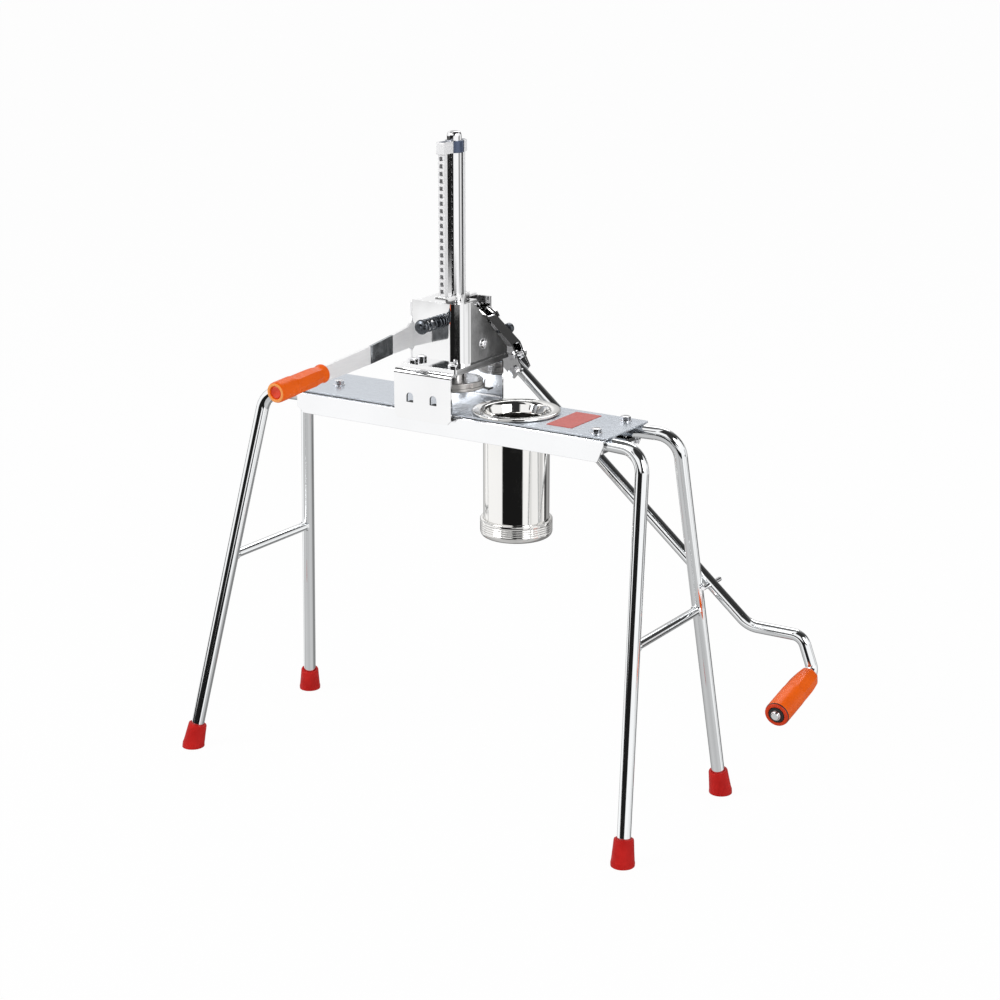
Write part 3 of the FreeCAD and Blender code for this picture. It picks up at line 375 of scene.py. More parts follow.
satin = new_material("satin steel", (0.62, 0.66, 0.72), 0.85, 0.30)
grain = mottle(satin, 60.0, (1.0, 24.0, 24.0), 5.0)
colours(satin, grain, (0.58, 0.625, 0.69), (0.69, 0.73, 0.785))
drive(satin, grain, "Roughness", 0.24, 0.36)
relief(satin, grain, 0.08, 0.0002)
pressed("bench_plate", satin)
rail_chrome = chrome("pressed chrome", (0.97, 0.975, 0.985), 0.02)
for node in ("side_rail_front", "side_rail_rear", "strap_left", "strap_right"):
    pressed(node, rail_chrome)
red_film = new_material("red film", (0.62, 0.09, 0.075), 0.0, 0.38)
colours(red_film, mottle(red_film, 400.0), (0.56, 0.075, 0.06), (0.68, 0.11, 0.09))
drive(red_film, mottle(red_film, 60.0), "Roughness", 0.30, 0.46)
pressed("label_plate", red_film, 0.15)
bright_bolt = chrome("bright fastener", (0.90, 0.90, 0.92), 0.01)
STAND_BOLTS = (("stand_bolt_front", 189.0, -30.987), ("stand_bolt_rear", 189.0, 30.987),
               ("stand_bolt_left", -170.0, -4.0))
WASHER_R = 6.6
WASHER_T = 1.1
STRAP_LOW = BENCH_TOP - PLATE_T - TUBE_D - STRAP_T
for name, x, y in STAND_BOLTS:
    bm = bmesh.new()
    turned(bm, [(BOLT_R, 0.0), (WASHER_R, 0.0), (WASHER_R, WASHER_T), (BOLT_R, WASHER_T)],
           along(at(x, y, BENCH_TOP), (0, 0, 1)), 40, edge=0.25)
    hex_bar(bm, along(at(x, y, BENCH_TOP + WASHER_T), (0, 0, 1)), BOLT_HEX, 4.3)
    rod(bm, along(at(x, y, STRAP_LOW), (0, 0, 1)), BOLT_R, 0.0, 22.0)
    threaded(bm, along(at(x, y, STRAP_LOW), (0, 0, -1)), BOLT_R, 9.0)
    finished("bolt_" + name, bm, bright_bolt, name)
    bm = bmesh.new()
    hex_bar(bm, along(at(x, y, STRAP_LOW), (0, 0, -1)), BOLT_HEX, 4.6)
    finished("nut_" + name, bm, bright_bolt, name.replace("bolt", "nut"))

# Legs. Four steel tubes, bent once below the bench and splayed, chromed all over.
# A thinner tube is brazed across each pair.
TUBE_R = 0.5 * TUBE_D
TUBE_WALL = 1.5
TUBE_Z = BENCH_TOP - PLATE_T - TUBE_R
LEG_IN = (130.0, 24.2)
LEG_BEND = (250.0, 38.0)
BEND_R = 26.0
FEET = {"fl": (-318.0, -114.0), "fr": (276.0, -112.0), "rl": (-318.0, 114.0), "rr": (276.0, 112.0)}
BRACES = (("brace_left", "fl", "rl", 236.0), ("brace_right", "fr", "rr", 230.0))
BRACE_R = 5.2
LEG_INSET = 5.0      # how far inside its foot a tube ends


def bent_tube(bm, points, bends, radius, wall=0.0, sides=32, steps=14):
    # a circle pushed along straight runs and spun round each bend; a wall leaves the ends open
    part = bmesh.new()
    here = points[0]
    run = (points[1] - here).normalized()
    verts = bmesh.ops.create_circle(part, cap_ends=False, segments=sides, radius=radius * MM,
                                    matrix=along(here, run))["verts"]
    edges = list(part.edges)
    ends = [(list(edges), here.copy(), run.copy())]
    for index in range(1, len(points)):
        run = (points[index] - here).normalized()
        stop = points[index]
        turning = index < len(points) - 1
        if turning:
            after = (points[index + 1] - points[index]).normalized()
            bend = run.angle(after)
            back = bends[index - 1] * MM * math.tan(bend / 2.0)
            stop = points[index] - run * back
        grown = bmesh.ops.extrude_edge_only(part, edges=edges)["geom"]
        verts = verts_of(grown)
        fresh = set(verts)
        edges = [e for e in edges_of(grown) if set(e.verts) <= fresh]
        bmesh.ops.translate(part, verts=verts, vec=stop - here)
        here = stop
        if turning:
            axis = run.cross(after).normalized()
            centre = stop + axis.cross(run) * bends[index - 1] * MM
            last = bmesh.ops.spin(part, geom=verts + edges, cent=centre, axis=axis, angle=bend,
                                  steps=steps)["geom_last"]
            verts = verts_of(last)
            edges = edges_of(last)
            here = points[index] + after * back
            run = after
    ends.append((edges, here.copy(), -run))
    for ring, centre, inward in ends:
        for shrink, depth in (((radius - wall) / radius, 0.0), (1.0, 14.0)) if wall else ((0.86, -0.9),):
            grown = bmesh.ops.extrude_edge_only(part, edges=ring)["geom"]
            verts = verts_of(grown)
            fresh = set(verts)
            ring = [e for e in edges_of(grown) if set(e.verts) <= fresh]
            bmesh.ops.scale(part, vec=(shrink,) * 3, space=Matrix.Translation(-centre), verts=verts)
            bmesh.ops.translate(part, verts=verts, vec=inward * depth * MM)
        bmesh.ops.edgeloop_fill(part, edges=ring)
    joined(bm, part)


tube_chrome = chrome("tube chrome", (0.95, 0.965, 0.975), 0.008)
leg_line = {}
for key, (foot_x, foot_y) in FEET.items():
    side_x = math.copysign(1.0, foot_x)
    side_y = math.copysign(1.0, foot_y)
    inner = at(side_x * LEG_IN[0], side_y * LEG_IN[1], TUBE_Z)
    corner = at(side_x * LEG_BEND[0], side_y * LEG_BEND[1], TUBE_Z)
    ground = at(foot_x, foot_y, 0.0)
    down = (ground - corner).normalized()
    leg_line[key] = (corner, ground, down)
    bm = bmesh.new()
    bent_tube(bm, [inner, corner, ground - down * LEG_INSET * MM], [BEND_R], TUBE_R, TUBE_WALL)
    finished("tube_leg_" + key, bm, tube_chrome, "leg_" + key, smooth=50.0)
for name, front_leg, rear_leg, height in BRACES:
    ends = []
    for key in (front_leg, rear_leg):
        corner, ground, down = leg_line[key]
        share = (corner.z - height * MM) / (corner.z - ground.z)
        ends.append(corner.lerp(ground, share))
    run = ends[1] - ends[0]
    reach = run.length / MM
    bm = bmesh.new()
    turned(bm, [(BRACE_R, TUBE_R - 2.0), (BRACE_R + 1.6, TUBE_R - 0.6), (BRACE_R + 0.7, TUBE_R + 0.8),
                (BRACE_R, TUBE_R + 2.2), (BRACE_R, reach - TUBE_R - 2.2),
                (BRACE_R + 0.7, reach - TUBE_R - 0.8), (BRACE_R + 1.6, reach - TUBE_R + 0.6),
                (BRACE_R, reach - TUBE_R + 2.0)],
           along(ends[0], run), 32, False)
    finished("tube_" + name, bm, tube_chrome, name, smooth=50.0)

# Feet. Moulded rubber caps, pushed on the leg ends and cut level where they stand.
FOOT_PROFILE = [(0.0, -5.0), (12.7, -5.0), (13.1, -0.5), (13.2, 2.2), (12.9, 3.4), (12.6, 5.0), (11.7, 16.0),
                (11.1, 24.0), (10.9, 26.6), (10.5, 27.7), (9.8, 28.2), (8.0, 28.2), (7.6, 27.6), (7.6, 20.0),
                (0.0, 20.0)]
FOOT_LIFT = 1.2       # start of the profile above the end of the leg's line


def sheen(made, level):
    made.node_tree.nodes["Principled BSDF"].inputs["Specular IOR Level"].default_value = level


red_rubber = new_material("red rubber", (0.52, 0.012, 0.010), 0.0, 0.42)
colours(red_rubber, mottle(red_rubber, 60.0), (0.46, 0.008, 0.007), (0.60, 0.016, 0.013))
drive(red_rubber, mottle(red_rubber, 150.0), "Roughness", 0.34, 0.56)
relief(red_rubber, mottle(red_rubber, 1400.0), 0.12, 0.0002)
sheen(red_rubber, 0.14)
for key, (corner, ground, down) in leg_line.items():
    part = bmesh.new()
    turned(part, FOOT_PROFILE, along(ground - down * FOOT_LIFT * MM, -down), 64, False)
    bmesh.ops.bisect_plane(part, geom=part.verts[:] + part.edges[:] + part.faces[:],
                           plane_co=(0, 0, 0), plane_no=(0, 0, -1), clear_outer=True)
    bmesh.ops.holes_fill(part, edges=[e for e in part.edges if e.is_boundary], sides=0)
    soften(part, 0.4, 2, 60.0)
    bm = bmesh.new()
    joined(bm, part)
    finished("rubber_foot_" + key, bm, red_rubber, "foot_" + key)

# Barrel. A turned and polished steel tube that hangs in the bench by a rounded rim ring pressed
# on its top; a grooved screw ring holds the brass die at its lower end.
BARREL_X = 69.6
BARREL_R = 36.7
BORE_R = 31.5
BARREL_LOW = 310.0
RIM_Z = BENCH_TOP + 0.3
barrel_axis = along(at(BARREL_X, 0.0, 0.0), (0, 0, 1))
barrel_steel = chrome("polished barrel", (0.93, 0.92, 0.90), 0.004)
bm = bmesh.new()
turned(bm, [(BORE_R, BARREL_LOW), (BARREL_R, BARREL_LOW), (BARREL_R, RIM_Z - 0.2), (35.2, RIM_Z - 0.2),
            (33.4, RIM_Z - 4.6), (32.0, RIM_Z - 7.6), (BORE_R, RIM_Z - 10.0)], barrel_axis, 160)
# The inside of the bore gets a dark base colour, which is painted shade of the deep bore, and a rougher
# finish than the outside.
honed_bore_shade = new_material("honed bore with painted shade", (0.20, 0.19, 0.18), 1.0, 0.30)
drive(honed_bore_shade, mottle(honed_bore_shade, 90.0, (1.0, 1.0, 6.0)), "Roughness", 0.22, 0.36)
for face in bm.faces:
    middle = face.calc_center_median() / MM
    if math.hypot(middle.x - BENCH_CENTRE[0] - BARREL_X, middle.y - BENCH_CENTRE[1]) < BORE_R + 0.2:
        face.material_index = 1
finished("barrel_tube", bm, (barrel_steel, honed_bore_shade), "barrel")
bm = bmesh.new()
turned(bm, [(BARREL_R, RIM_Z - 3.0), (39.0, RIM_Z - 3.0), (39.0, RIM_Z), (47.4, RIM_Z), (48.2, RIM_Z + 0.4),
            (48.55, RIM_Z + 1.2), (48.6, RIM_Z + 1.8), (48.3, RIM_Z + 2.7), (47.6, RIM_Z + 3.2),
            (46.6, RIM_Z + 3.4), (42.0, RIM_Z + 3.3), (39.2, RIM_Z + 3.1), (37.6, RIM_Z + 2.5),
            (36.3, RIM_Z + 1.4), (35.3, RIM_Z - 0.2), (BARREL_R, RIM_Z - 0.2)], barrel_axis, 160)
finished("rolled_rim", bm, barrel_steel, "barrel_rim")
RING_R = 40.25
RING_LOW = 302.8
RING_TOP = 323.4
RING_BORE = 37.0
LIP_R = 30.5
LIP_TOP = 305.8
profile = [(LIP_R, RING_LOW), (34.6, RING_LOW), (36.6, RING_LOW + 0.35), (38.2, RING_LOW + 1.3),
           (39.5, RING_LOW + 2.9), (40.1, RING_LOW + 4.7), (RING_R, RING_LOW + 6.4)]
for groove in range(4):
    z = RING_LOW + 7.6 + groove * 2.5
    profile += [(RING_R, z), (RING_R - 0.75, z + 0.45), (RING_R - 0.75, z + 0.95), (RING_R, z + 1.4)]
profile += [(RING_R, RING_TOP - 0.9), (RING_R - 0.5, RING_TOP - 0.2), (RING_R - 1.2, RING_TOP),
            (RING_BORE, RING_TOP), (RING_BORE, LIP_TOP), (LIP_R, LIP_TOP)]
bm = bmesh.new()
turned(bm, profile, barrel_axis, 160)
finished("screw_ring", bm, barrel_steel, "die_cap_ring", smooth=60.0)
brass = new_material("die brass", (0.80, 0.58, 0.26), 1.0, 0.28)
drive(brass, mottle(brass, 120.0), "Roughness", 0.22, 0.38)
relief(brass, mottle(brass, 300.0), 0.06, 0.0002)
pressed("die_plate", brass, 0.12, 1)

# Head. Saddle, base plate, casing and brackets, pressed from sheet, plated mirror bright
# and bolted together; the saddle's folded strips run under the edges of the bench.
BASE_TOP = 492.0
SADDLE_UNDER = 484.5
BASE_BOLTS = ((11.5, -37.5), (-42.0, -37.5), (5.0, 40.0), (-40.0, 40.0))
CASE_X1 = 17.0
SIDE_BOLT = (14.0, 510.5)
WINDOWS_X = (-36.0, -5.0, -2.0)      # middles of the lanced windows in the saddle
WINDOW_HALF = 4.8
WINDOW_Z = (449.0, 462.0)
WINDOW_FACE = 120.0                  # largest face, in square millimetres, that is a cut edge
sheet_chrome = chrome("sheet chrome", (0.96, 0.96, 0.965), 0.012)
for node in ("guide_strip_front", "guide_strip_rear", "base_plate", "casing", "top_plate", "ram_guide",
             "rear_bracket"):
    pressed(node, sheet_chrome, 0.45)
saddle = pressed("saddle", sheet_chrome, 0.45)
# The cut edges and tabs of the lanced windows are near black: painted shade inside the windows.
window_shade = new_material("painted shade in windows", (0.03, 0.03, 0.032), 0.0, 0.60)
drive(window_shade, mottle(window_shade, 300.0), "Roughness", 0.50, 0.70)
saddle.data.materials.append(window_shade)
for face in saddle.data.polygons:
    spot = (face.center - at(0.0, 0.0, 0.0)) / MM
    lanced = min(abs(spot.x - x) for x in WINDOWS_X) < WINDOW_HALF and WINDOW_Z[0] < spot.z < WINDOW_Z[1]
    if lanced and abs(face.normal.y) < 0.6 and face.area < WINDOW_FACE * MM * MM:
        face.material_index = 1
for index, (x, y) in enumerate(BASE_BOLTS):
    bm = bmesh.new()
    hex_bar(bm, along(at(x, y, BASE_TOP), (0, 0, 1)), BOLT_HEX, 4.0)
    rod(bm, along(at(x, y, SADDLE_UNDER), (0, 0, 1)), BOLT_R, 0.0, 8.0)
    hex_bar(bm, along(at(x, y, SADDLE_UNDER), (0, 0, -1)), 8.0, 2.7)
    finished("base_screw_%d" % (index + 1), bm, bright_bolt, "base_bolt_%d" % (index + 1))
bm = bmesh.new()
side = along(at(CASE_X1, *SIDE_BOLT), (1, 0, 0))
turned(bm, [(0.0, 0.0), (5.6, 0.0), (5.6, 0.7), (5.2, 1.6), (4.3, 2.5), (3.1, 3.1), (1.6, 3.3), (1.3, 2.5),
            (0.0, 2.5)], side, 40, False)
rod(bm, side, BOLT_R, -7.5, 0.5)
hex_bar(bm, along(at(CASE_X1 - 2.0, *SIDE_BOLT), (-1, 0, 0)), 9.0, 3.6)
finished("side_screw", bm, bright_bolt, "side_bolt")

# Holding arm. A strap of sheet that carries on from the side plate, with a shallow joggle half way;
# its end is a tang inside a moulded orange grip, closed by a red plug.
SIDE_X0 = -51.0
SIDE_X1 = -48.0
CASE_Y = -29.0
ARM_END_Y = -195.0
ARM_OUTLINE = ((98.5, 505.0), (98.5, 547.0), (70.0, 547.0), (30.0, 558.0), (CASE_Y, 558.0), (CASE_Y, 541.0),
               (-31.2, 534.6), (-37.0, 530.8), (-60.0, 527.3), (ARM_END_Y, 515.8), (ARM_END_Y, 499.4),
               (-60.0, 505.6), (-33.0, 507.0), (CASE_Y, 503.0), (CASE_Y, BASE_TOP), (60.0, BASE_TOP),
               (68.0, 505.0))
JOGGLE = (-66.0, -111.0, 2.9)     # start, end and height of the joggle
GRIP_TILT = math.radians(3.7)
part = bmesh.new()
outline = [part.verts.new(at(SIDE_X0, y, z)) for y, z in ARM_OUTLINE]
sheet = part.faces.new(outline)
grown = bmesh.ops.extrude_face_region(part, geom=[sheet])["geom"]
bmesh.ops.translate(part, verts=verts_of(grown), vec=((SIDE_X1 - SIDE_X0) * MM, 0, 0))
bmesh.ops.recalc_face_normals(part, faces=part.faces)
for step in range(11):
    y = JOGGLE[0] + (JOGGLE[1] - JOGGLE[0]) * step / 10.0
    bmesh.ops.bisect_plane(part, geom=part.verts[:] + part.edges[:] + part.faces[:],
                           plane_co=at(0, y, 0), plane_no=(0, 1, 0))
for vert in part.verts:
    y = vert.co.y / MM - BENCH_CENTRE[1]
    share = min(1.0, max(0.0, (JOGGLE[0] - y) / (JOGGLE[0] - JOGGLE[1])))
    vert.co.x += JOGGLE[2] * MM * min(1.0, max(0.0, (share - 0.05) / 0.9))
# faces of the joggle take the second finish, a dark steel that is painted shade of the slope
for face in part.faces:
    y = face.calc_center_median().y / MM - BENCH_CENTRE[1]
    face.material_index = 1 if JOGGLE[1] < y < JOGGLE[0] else 0
soften(part, 0.45)
bm = bmesh.new()
joined(bm, part)
satin_plate = new_material("satin plate", (0.90, 0.90, 0.91), 0.30, 0.42)
colours(satin_plate, mottle(satin_plate, 45.0, (1.0, 1.0, 12.0)), (0.93, 0.93, 0.94), (0.985, 0.985, 0.99))
drive(satin_plate, mottle(satin_plate, 120.0, (1.0, 1.0, 12.0)), "Roughness", 0.36, 0.50)
# A dark steel on the joggle's slope is painted shade; the rest of the strap is satin plate.
slope_shade_steel = new_material("painted shade on joggle", (0.30, 0.315, 0.33), 1.0, 0.20)
drive(slope_shade_steel, mottle(slope_shade_steel, 120.0), "Roughness", 0.14, 0.26)
finished("arm_strap", bm, (satin_plate, slope_shade_steel), "arm_plate", smooth=1.5)
orange = new_material("orange plastic", (0.86, 0.115, 0.004), 0.0, 0.30)
colours(orange, mottle(orange, 35.0), (0.86, 0.112, 0.002), (0.96, 0.140, 0.004))
drive(orange, mottle(orange, 180.0), "Roughness", 0.24, 0.38)
relief(orange, mottle(orange, 500.0), 0.05, 0.0002)
# A pale orange on the rim round the plug is a painted highlight on the rounded edge.
orange_highlight = new_material("painted highlight on grip edge", (0.93, 0.36, 0.10), 0.0, 0.32)
drive(orange_highlight, mottle(orange_highlight, 180.0), "Roughness", 0.28, 0.40)
for made in (orange, orange_highlight):
    sheen(made, 0.16)


def facetted(part, low, high, blend, inside):
    # presses eight flats into a turned shape between two heights, fading out over the blend
    for vert in part.verts:
        height = vert.co.z / MM
        if math.hypot(vert.co.x, vert.co.y) < inside * MM or not low - blend < height < high + blend:
            continue
        angle = math.atan2(vert.co.y, vert.co.x)
        off = (angle + math.pi / 8.0) % (math.pi / 4.0) - math.pi / 8.0
        fade = min(1.0, (height - low + blend) / blend, (high + blend - height) / blend)
        scale = 1.0 + fade * (math.cos(math.pi / 8.0) / math.cos(off) - 1.0)
        vert.co.x *= scale
        vert.co.y *= scale


grip_turn = Matrix.Rotation(math.radians(22.5), 4, "Z")
grip_run = Vector((0.0, -math.cos(GRIP_TILT), -math.sin(GRIP_TILT)))
grip_start = at(0.5 * (SIDE_X0 + SIDE_X1), ARM_END_Y + 6.0, 508.4)
profile = [(0.0, 0.0), (8.4, 0.0), (9.3, 0.4), (9.9, 1.3), (10.1, 2.4), (9.9, 4.0), (9.2, 7.0)]
profile += [(9.2 + 1.7 * min(1.0, step / 6.0), 9.0 + 2.0 * step) for step in range(20)]
profile += [(10.9, 48.0 + step) for step in range(8)]
profile += [(10.9, 64.0), (10.9, 73.0), (10.9, 76.0), (10.7, 78.2), (10.1, 79.5), (9.2, 80.0), (8.0, 80.0),
            (7.2, 79.6), (6.6, 78.8), (6.4, 77.5), (6.4, 70.0), (0.0, 70.0)]
part = bmesh.new()
turned(part, profile, Matrix(), 128, False)
facetted(part, 10.0, 49.0, 5.0, 8.9)
# rim faces round the plug take the painted highlight
for face in part.faces:
    middle = face.calc_center_median()
    if middle.z > 79.0 * MM and math.hypot(middle.x, middle.y) > 7.0 * MM:
        face.material_index = 1
bm = bmesh.new()
joined(bm, part, along(grip_start, grip_run) @ grip_turn)
finished("holding_grip", bm, (orange, orange_highlight), "arm_grip", smooth=30.0)
red_plug = new_material("red plug", (0.74, 0.045, 0.012), 0.0, 0.40)
colours(red_plug, mottle(red_plug, 300.0), (0.68, 0.035, 0.010), (0.80, 0.06, 0.016))
relief(red_plug, mottle(red_plug, 700.0), 0.08, 0.0002)
bm = bmesh.new()
turned(bm, [(0.0, 72.0), (6.3, 72.0), (6.3, 78.2), (5.6, 78.7), (4.6, 78.3), (3.0, 77.6), (0.0, 77.2)],
       along(grip_start, grip_run), 56, False)
finished("red_plug", bm, red_plug, "grip_plug")

# Ram. A chromed bar with a strip of punched steel on each side. A clip holds the strips at the top,
# and the piston below is turned from aluminium.
RAM_X = -10.6
ram_chrome = chrome("ram chrome", (0.96, 0.96, 0.97), 0.004)
bm = bmesh.new()
turned(bm, [(0.0, 465.0), (8.0, 465.0), (8.0, 738.0), (7.7, 740.0), (6.9, 741.6), (5.7, 742.6),
            (4.2, 743.0), (0.0, 743.0)], along(at(RAM_X, 0.0, 0.0), (0, 0, 1)), 96, False)
finished("ram_bar", bm, ram_chrome, "ram_rod")
# The strips' faces towards the bar are near black: painted shade in the gap between strip and bar.
strip_gap_shade = new_material("painted shade on strip back", (0.012, 0.012, 0.013), 0.0, 0.50)
drive(strip_gap_shade, mottle(strip_gap_shade, 160.0), "Roughness", 0.42, 0.60)
sheen(strip_gap_shade, 0.1)
# The cut faces of the punched holes are a dull grey: a duller sheared edge with painted shade in the holes.
punched_edge_shade = new_material("punched edge with painted shade", (0.42, 0.42, 0.43), 0.0, 0.55)
drive(punched_edge_shade, mottle(punched_edge_shade, 240.0), "Roughness", 0.45, 0.65)
middle = at(RAM_X, 0.0, 0.0)
for node in ("front_rack", "rear_rack"):
    strip = pressed(node, satin_plate, 0.25, 1)
    strip.data.materials.append(strip_gap_shade)
    strip.data.materials.append(punched_edge_shade)
    for face in strip.data.polygons:
        if face.normal.y * math.copysign(1.0, middle.y - face.center.y) > 0.9:
            face.material_index = 1
        elif abs(face.center.x - middle.x) < 2.6 * MM and abs(face.normal.y) < 0.5:
            face.material_index = 2
clip = pressed("top_clip", satin_plate, 0.6)
# Faces of the clip that wrap round the bar take a dark blue: a painted reflection on the curved collar.
collar_reflection_blue = new_material("painted reflection on collar", (0.10, 0.125, 0.19), 1.0, 0.24)
drive(collar_reflection_blue, mottle(collar_reflection_blue, 160.0), "Roughness", 0.16, 0.30)
clip.data.materials.append(collar_reflection_blue)
for face in clip.data.polygons:
    aside = face.center.x - middle.x
    if aside > 5.4 * MM or (abs(face.center.y - middle.y) < 10.0 * MM and aside > 0.0):
        face.material_index = 1
cast = new_material("turned aluminium", (0.50, 0.485, 0.47), 1.0, 0.32)
drive(cast, mottle(cast, 200.0, (1.0, 1.0, 8.0)), "Roughness", 0.26, 0.42)
pressed("piston", cast, 0.2, 1)

# Holding pin. A turned steel pin with a mushroom knob, pushed back by a wound spring that shows
# between the knob and the casing; its bush is pressed in the casing.
PIN_Z = 539.7
SPRING_R = 6.4
SPRING_WIRE = 1.1
SPRING_NEAR = -29.2
SPRING_FAR = -62.7
dark_steel = new_material("oiled steel", (0.12, 0.13, 0.145), 1.0, 0.26)
drive(dark_steel, mottle(dark_steel, 240.0), "Roughness", 0.18, 0.36)
relief(dark_steel, mottle(dark_steel, 600.0), 0.08, 0.0002)
pin_axis = along(at(RAM_X, 0.0, PIN_Z), (0, -1, 0))
bm = bmesh.new()
turned(bm, [(2.0, 23.0), (5.2, 29.0), (5.2, 35.4), (4.7, 36.0), (2.0, 36.0)], pin_axis, 48)
finished("bush", bm, dark_steel, "pin_bush")
bm = bmesh.new()
turned(bm, [(0.0, 25.9), (1.5, 25.9), (1.9, 26.4), (1.9, 62.6), (3.4, 63.0), (7.4, 63.2), (8.0, 63.9),
            (8.2, 65.0), (7.8, 66.2), (6.4, 67.2), (4.6, 67.8), (3.9, 68.6), (4.0, 70.0), (4.4, 71.2),
            (3.8, 71.9), (0.0, 72.0)], pin_axis, 56, False)
finished("holding_knob", bm, dark_steel, "holding_pin")
part = bmesh.new()
angle = 0.0
depth = SPRING_FAR + SPRING_WIRE + 0.1
wire = bmesh.ops.create_circle(part, cap_ends=False, segments=12, radius=SPRING_WIRE * MM,
                               matrix=Matrix.Translation((SPRING_R * MM, 0.0, 0.0))
                               @ Matrix.Rotation(math.radians(90.0), 4, "X"))["verts"]
ring = list(part.edges)
starts = list(ring)
LOOSE_TURNS = 3.0
END_TURNS = 0.9
END_PITCH = 2.5
loose_pitch = (SPRING_NEAR - SPRING_FAR - 2 * SPRING_WIRE - 0.2 - 2 * END_TURNS * END_PITCH) / LOOSE_TURNS
for turns, pitch in ((END_TURNS, END_PITCH), (LOOSE_TURNS, loose_pitch), (END_TURNS, END_PITCH)):
    steps = int(round(28 * turns))
    last = bmesh.ops.spin(part, geom=wire + ring, cent=(0, 0, 0), axis=(0, 0, 1),
                          dvec=(0, 0, turns * pitch * MM / steps), angle=math.tau * turns,
                          steps=steps)["geom_last"]
    wire = verts_of(last)
    ring = edges_of(last)
bmesh.ops.edgeloop_fill(part, edges=starts)
bmesh.ops.edgeloop_fill(part, edges=ring)
bm = bmesh.new()
joined(bm, part, along(at(RAM_X, depth, PIN_Z), (0, 1, 0)))
spring = finished("wound_spring", bm, dark_steel, "holding_spring", smooth=60.0)
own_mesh(spring)

# Lever. A forked head folded from sheet turns on a pivot bolt in the rear bracket; two bolts clamp
# a round bar in it, which is cranked at its far end and carries a turning grip.
LEVER_ANGLE = math.radians(40.0)
LEVER_X = -33.0
LEVER_Z = 513.3
LEVER_Y = 84.0
ROD_R = 6.5
CHEEK_T = 3.0
PIVOT_N = 8.0
SOCKET_BOLTS = ((68.0, 0.0), (56.0, 10.2))      # along the lever, then above its bar


def on_lever(along_lever, above, y=LEVER_Y):
    return at(LEVER_X + along_lever * math.cos(LEVER_ANGLE) + above * math.sin(LEVER_ANGLE), y,
              LEVER_Z - along_lever * math.sin(LEVER_ANGLE) + above * math.cos(LEVER_ANGLE))


pressed("lever_head", sheet_chrome, 0.6, 3)
bracket_front = LEVER_Y - ROD_R - CHEEK_T - 5.0
bracket_rear = LEVER_Y + ROD_R + CHEEK_T + 5.0
bm = bmesh.new()
hex_bar(bm, along(on_lever(0.0, PIVOT_N, bracket_rear), (0, 1, 0)), 13.0, 4.6)
rod(bm, along(on_lever(0.0, PIVOT_N, bracket_front), (0, 1, 0)), 3.95, -5.0,
    bracket_rear - bracket_front, 32)
finished("pivot_screw", bm, bright_bolt, "pivot_bolt")
bm = bmesh.new()
hex_bar(bm, along(on_lever(0.0, PIVOT_N, bracket_front), (0, -1, 0)), 13.0, 4.6)
finished("pivot_hex_nut", bm, bright_bolt, "pivot_nut")
for index, (down_bar, above) in enumerate(SOCKET_BOLTS):
    bm = bmesh.new()
    outer = LEVER_Y + ROD_R + CHEEK_T
    inner = LEVER_Y - ROD_R - CHEEK_T
    hex_bar(bm, along(on_lever(down_bar, above, outer), (0, 1, 0)), 8.5, 4.1)
    hex_bar(bm, along(on_lever(down_bar, above, inner), (0, -1, 0)), 8.5, 3.6)
    rod(bm, along(on_lever(down_bar, above, inner), (0, 1, 0)), 2.45, -4.5, outer - inner)
    finished("socket_screw_%d" % (index + 1), bm, bright_bolt, "socket_bolt_%d" % (index + 1))
CRANK_X = 318.0
crank_z = LEVER_Z - (CRANK_X - LEVER_X) * math.tan(LEVER_ANGLE)
grip_way = Vector((0.035, -0.983, -0.18)).normalized()
crank_end = at(396.8, LEVER_Y, 181.5)
shoulder = crank_end + grip_way * 10.5 * MM
bm = bmesh.new()
bent_tube(bm, [on_lever(30.0, 0.0), at(CRANK_X, LEVER_Y, crank_z), at(382.5, LEVER_Y, crank_z + 0.6),
               crank_end, shoulder + grip_way * 2.0 * MM], [30.0, 15.0, 9.0], ROD_R, 0.0, 36, 16)
turned(bm, [(0.0, 0.0), (4.4, 0.0), (4.4, 89.6), (3.9, 90.2), (0.0, 90.2)], along(shoulder, grip_way),
       40, False)
finished("crank_bar", bm, tube_chrome, "lever_rod", smooth=50.0)
CROSS_S = 396.7
bm = bmesh.new()
turned(bm, [(0.0, -20.0), (2.1, -20.0), (2.5, -19.6), (2.5, 19.6), (2.1, 20.0), (0.0, 20.0)],
       along(on_lever(CROSS_S, 0.0), (0, 1, 0)), 32, False)
finished("cross_bar", bm, bright_bolt, "cross_pin")
ember = new_material("ember orange", (0.62, 0.040, 0.006), 0.0, 0.36)
colours(ember, mottle(ember, 80.0), (0.56, 0.034, 0.005), (0.68, 0.050, 0.008))
sheen(ember, 0.2)
# The well in the grip's end, the rounded outer edge of its rim and the washer's outer flange are near black:
# painted shade.
well_shade_black = new_material("painted shade in well", (0.012, 0.011, 0.011), 0.0, 0.45)
drive(well_shade_black, mottle(well_shade_black, 200.0), "Roughness", 0.38, 0.55)
profile = [(4.6, 0.3), (9.4, 0.3), (10.4, 0.7), (11.2, 1.6), (12.0, 4.0)]
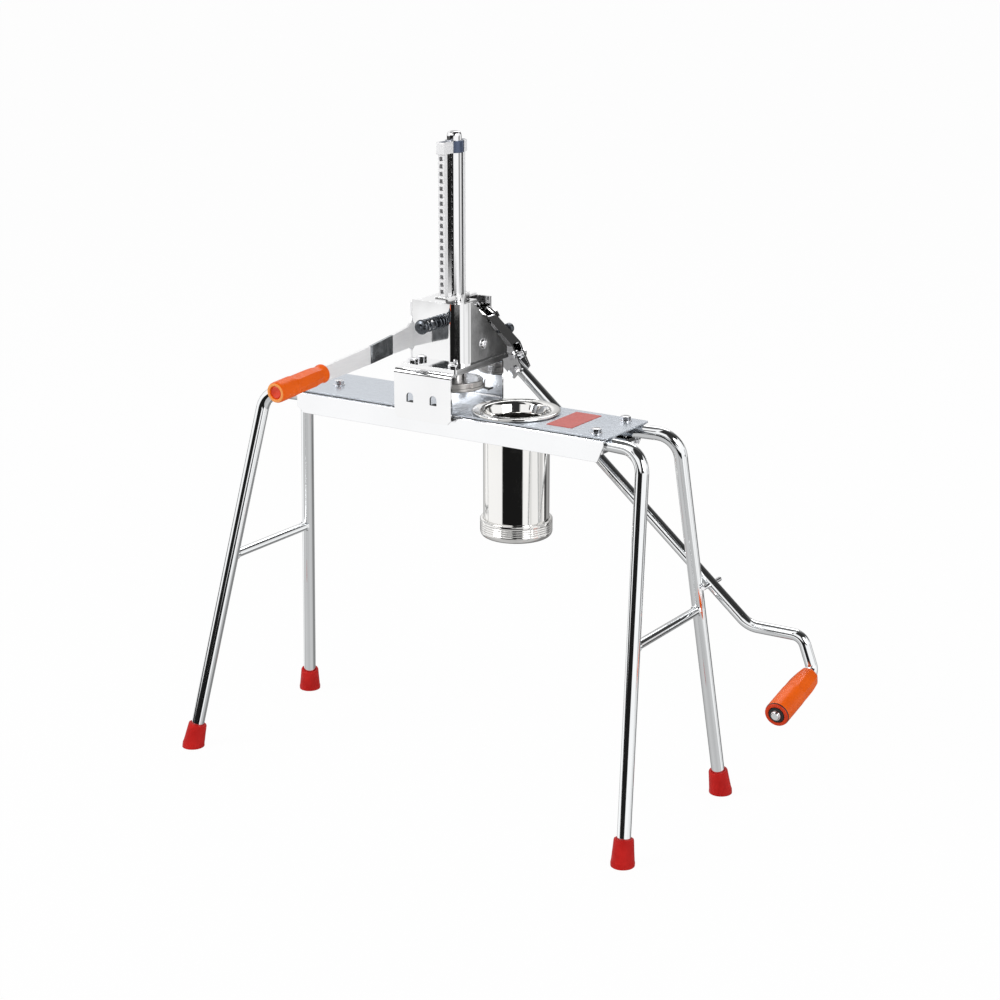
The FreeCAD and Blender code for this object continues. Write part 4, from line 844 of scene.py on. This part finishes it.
profile += [(12.0 + 1.6 * math.sin(0.5 * math.pi * step / 10.0), 4.0 + 2.2 * step) for step in range(1, 11)]
profile += [(13.6, 38.0 + step) for step in range(8)]
profile += [(13.6, 60.0)]
profile += [(13.6, 82.5), (13.5, 84.4), (13.1, 85.8), (12.3, 86.7), (11.4, 87.0), (10.0, 86.9), (9.2, 86.4),
            (9.0, 85.6), (9.0, 80.0), (4.6, 80.0)]
part = bmesh.new()
turned(part, profile, Matrix(), 128)
facetted(part, 2.0, 39.0, 5.0, 9.0)
# the rim's end face takes ember orange; the rounded outer edge and the well take the painted shade
for face in part.faces:
    middle = face.calc_center_median()
    wide = math.hypot(middle.x, middle.y)
    if middle.z > 84.0 * MM and wide < 13.45 * MM:
        face.material_index = 1 if middle.z > 86.0 * MM else 2
    elif middle.z > 79.0 * MM and wide < 9.1 * MM:
        face.material_index = 2
bm = bmesh.new()
joined(bm, part, along(shoulder, grip_way))
finished("turning_grip", bm, (orange, ember, well_shade_black), "lever_grip", smooth=30.0)
part = bmesh.new()
turned(part, [(4.5, 86.0), (8.5, 86.0), (8.5, 86.6), (5.7, 86.7), (5.6, 87.9), (5.2, 88.6), (4.5, 88.8)],
       Matrix(), 48)
# the washer's outer flange takes the painted shade of the well
for face in part.faces:
    middle = face.calc_center_median()
    if math.hypot(middle.x, middle.y) > 5.75 * MM:
        face.material_index = 1
bm = bmesh.new()
joined(bm, part, along(shoulder, grip_way))
finished("end_washer", bm, (bright_bolt, well_shade_black), "grip_washer")

# Drive pin. A short turned steel pin with a knob, carried by the lever's forked head.
# It slides into a square hole of the rear strip, and the lever then moves the ram.
DRIVE_Z = 507.7
KNOB_Y = 105.0
bm = bmesh.new()
turned(bm, [(0.0, 15.5), (1.5, 15.5), (1.9, 16.0), (1.9, KNOB_Y), (4.6, KNOB_Y), (5.6, KNOB_Y + 0.6),
            (6.0, KNOB_Y + 1.8), (6.0, KNOB_Y + 5.2), (5.5, KNOB_Y + 6.4), (4.4, KNOB_Y + 7.0),
            (0.0, KNOB_Y + 7.0)], along(at(RAM_X, 0.0, DRIVE_Z), (0, 1, 0)), 48, False)
finished("drive_knob", bm, dark_steel, "drive_pin")
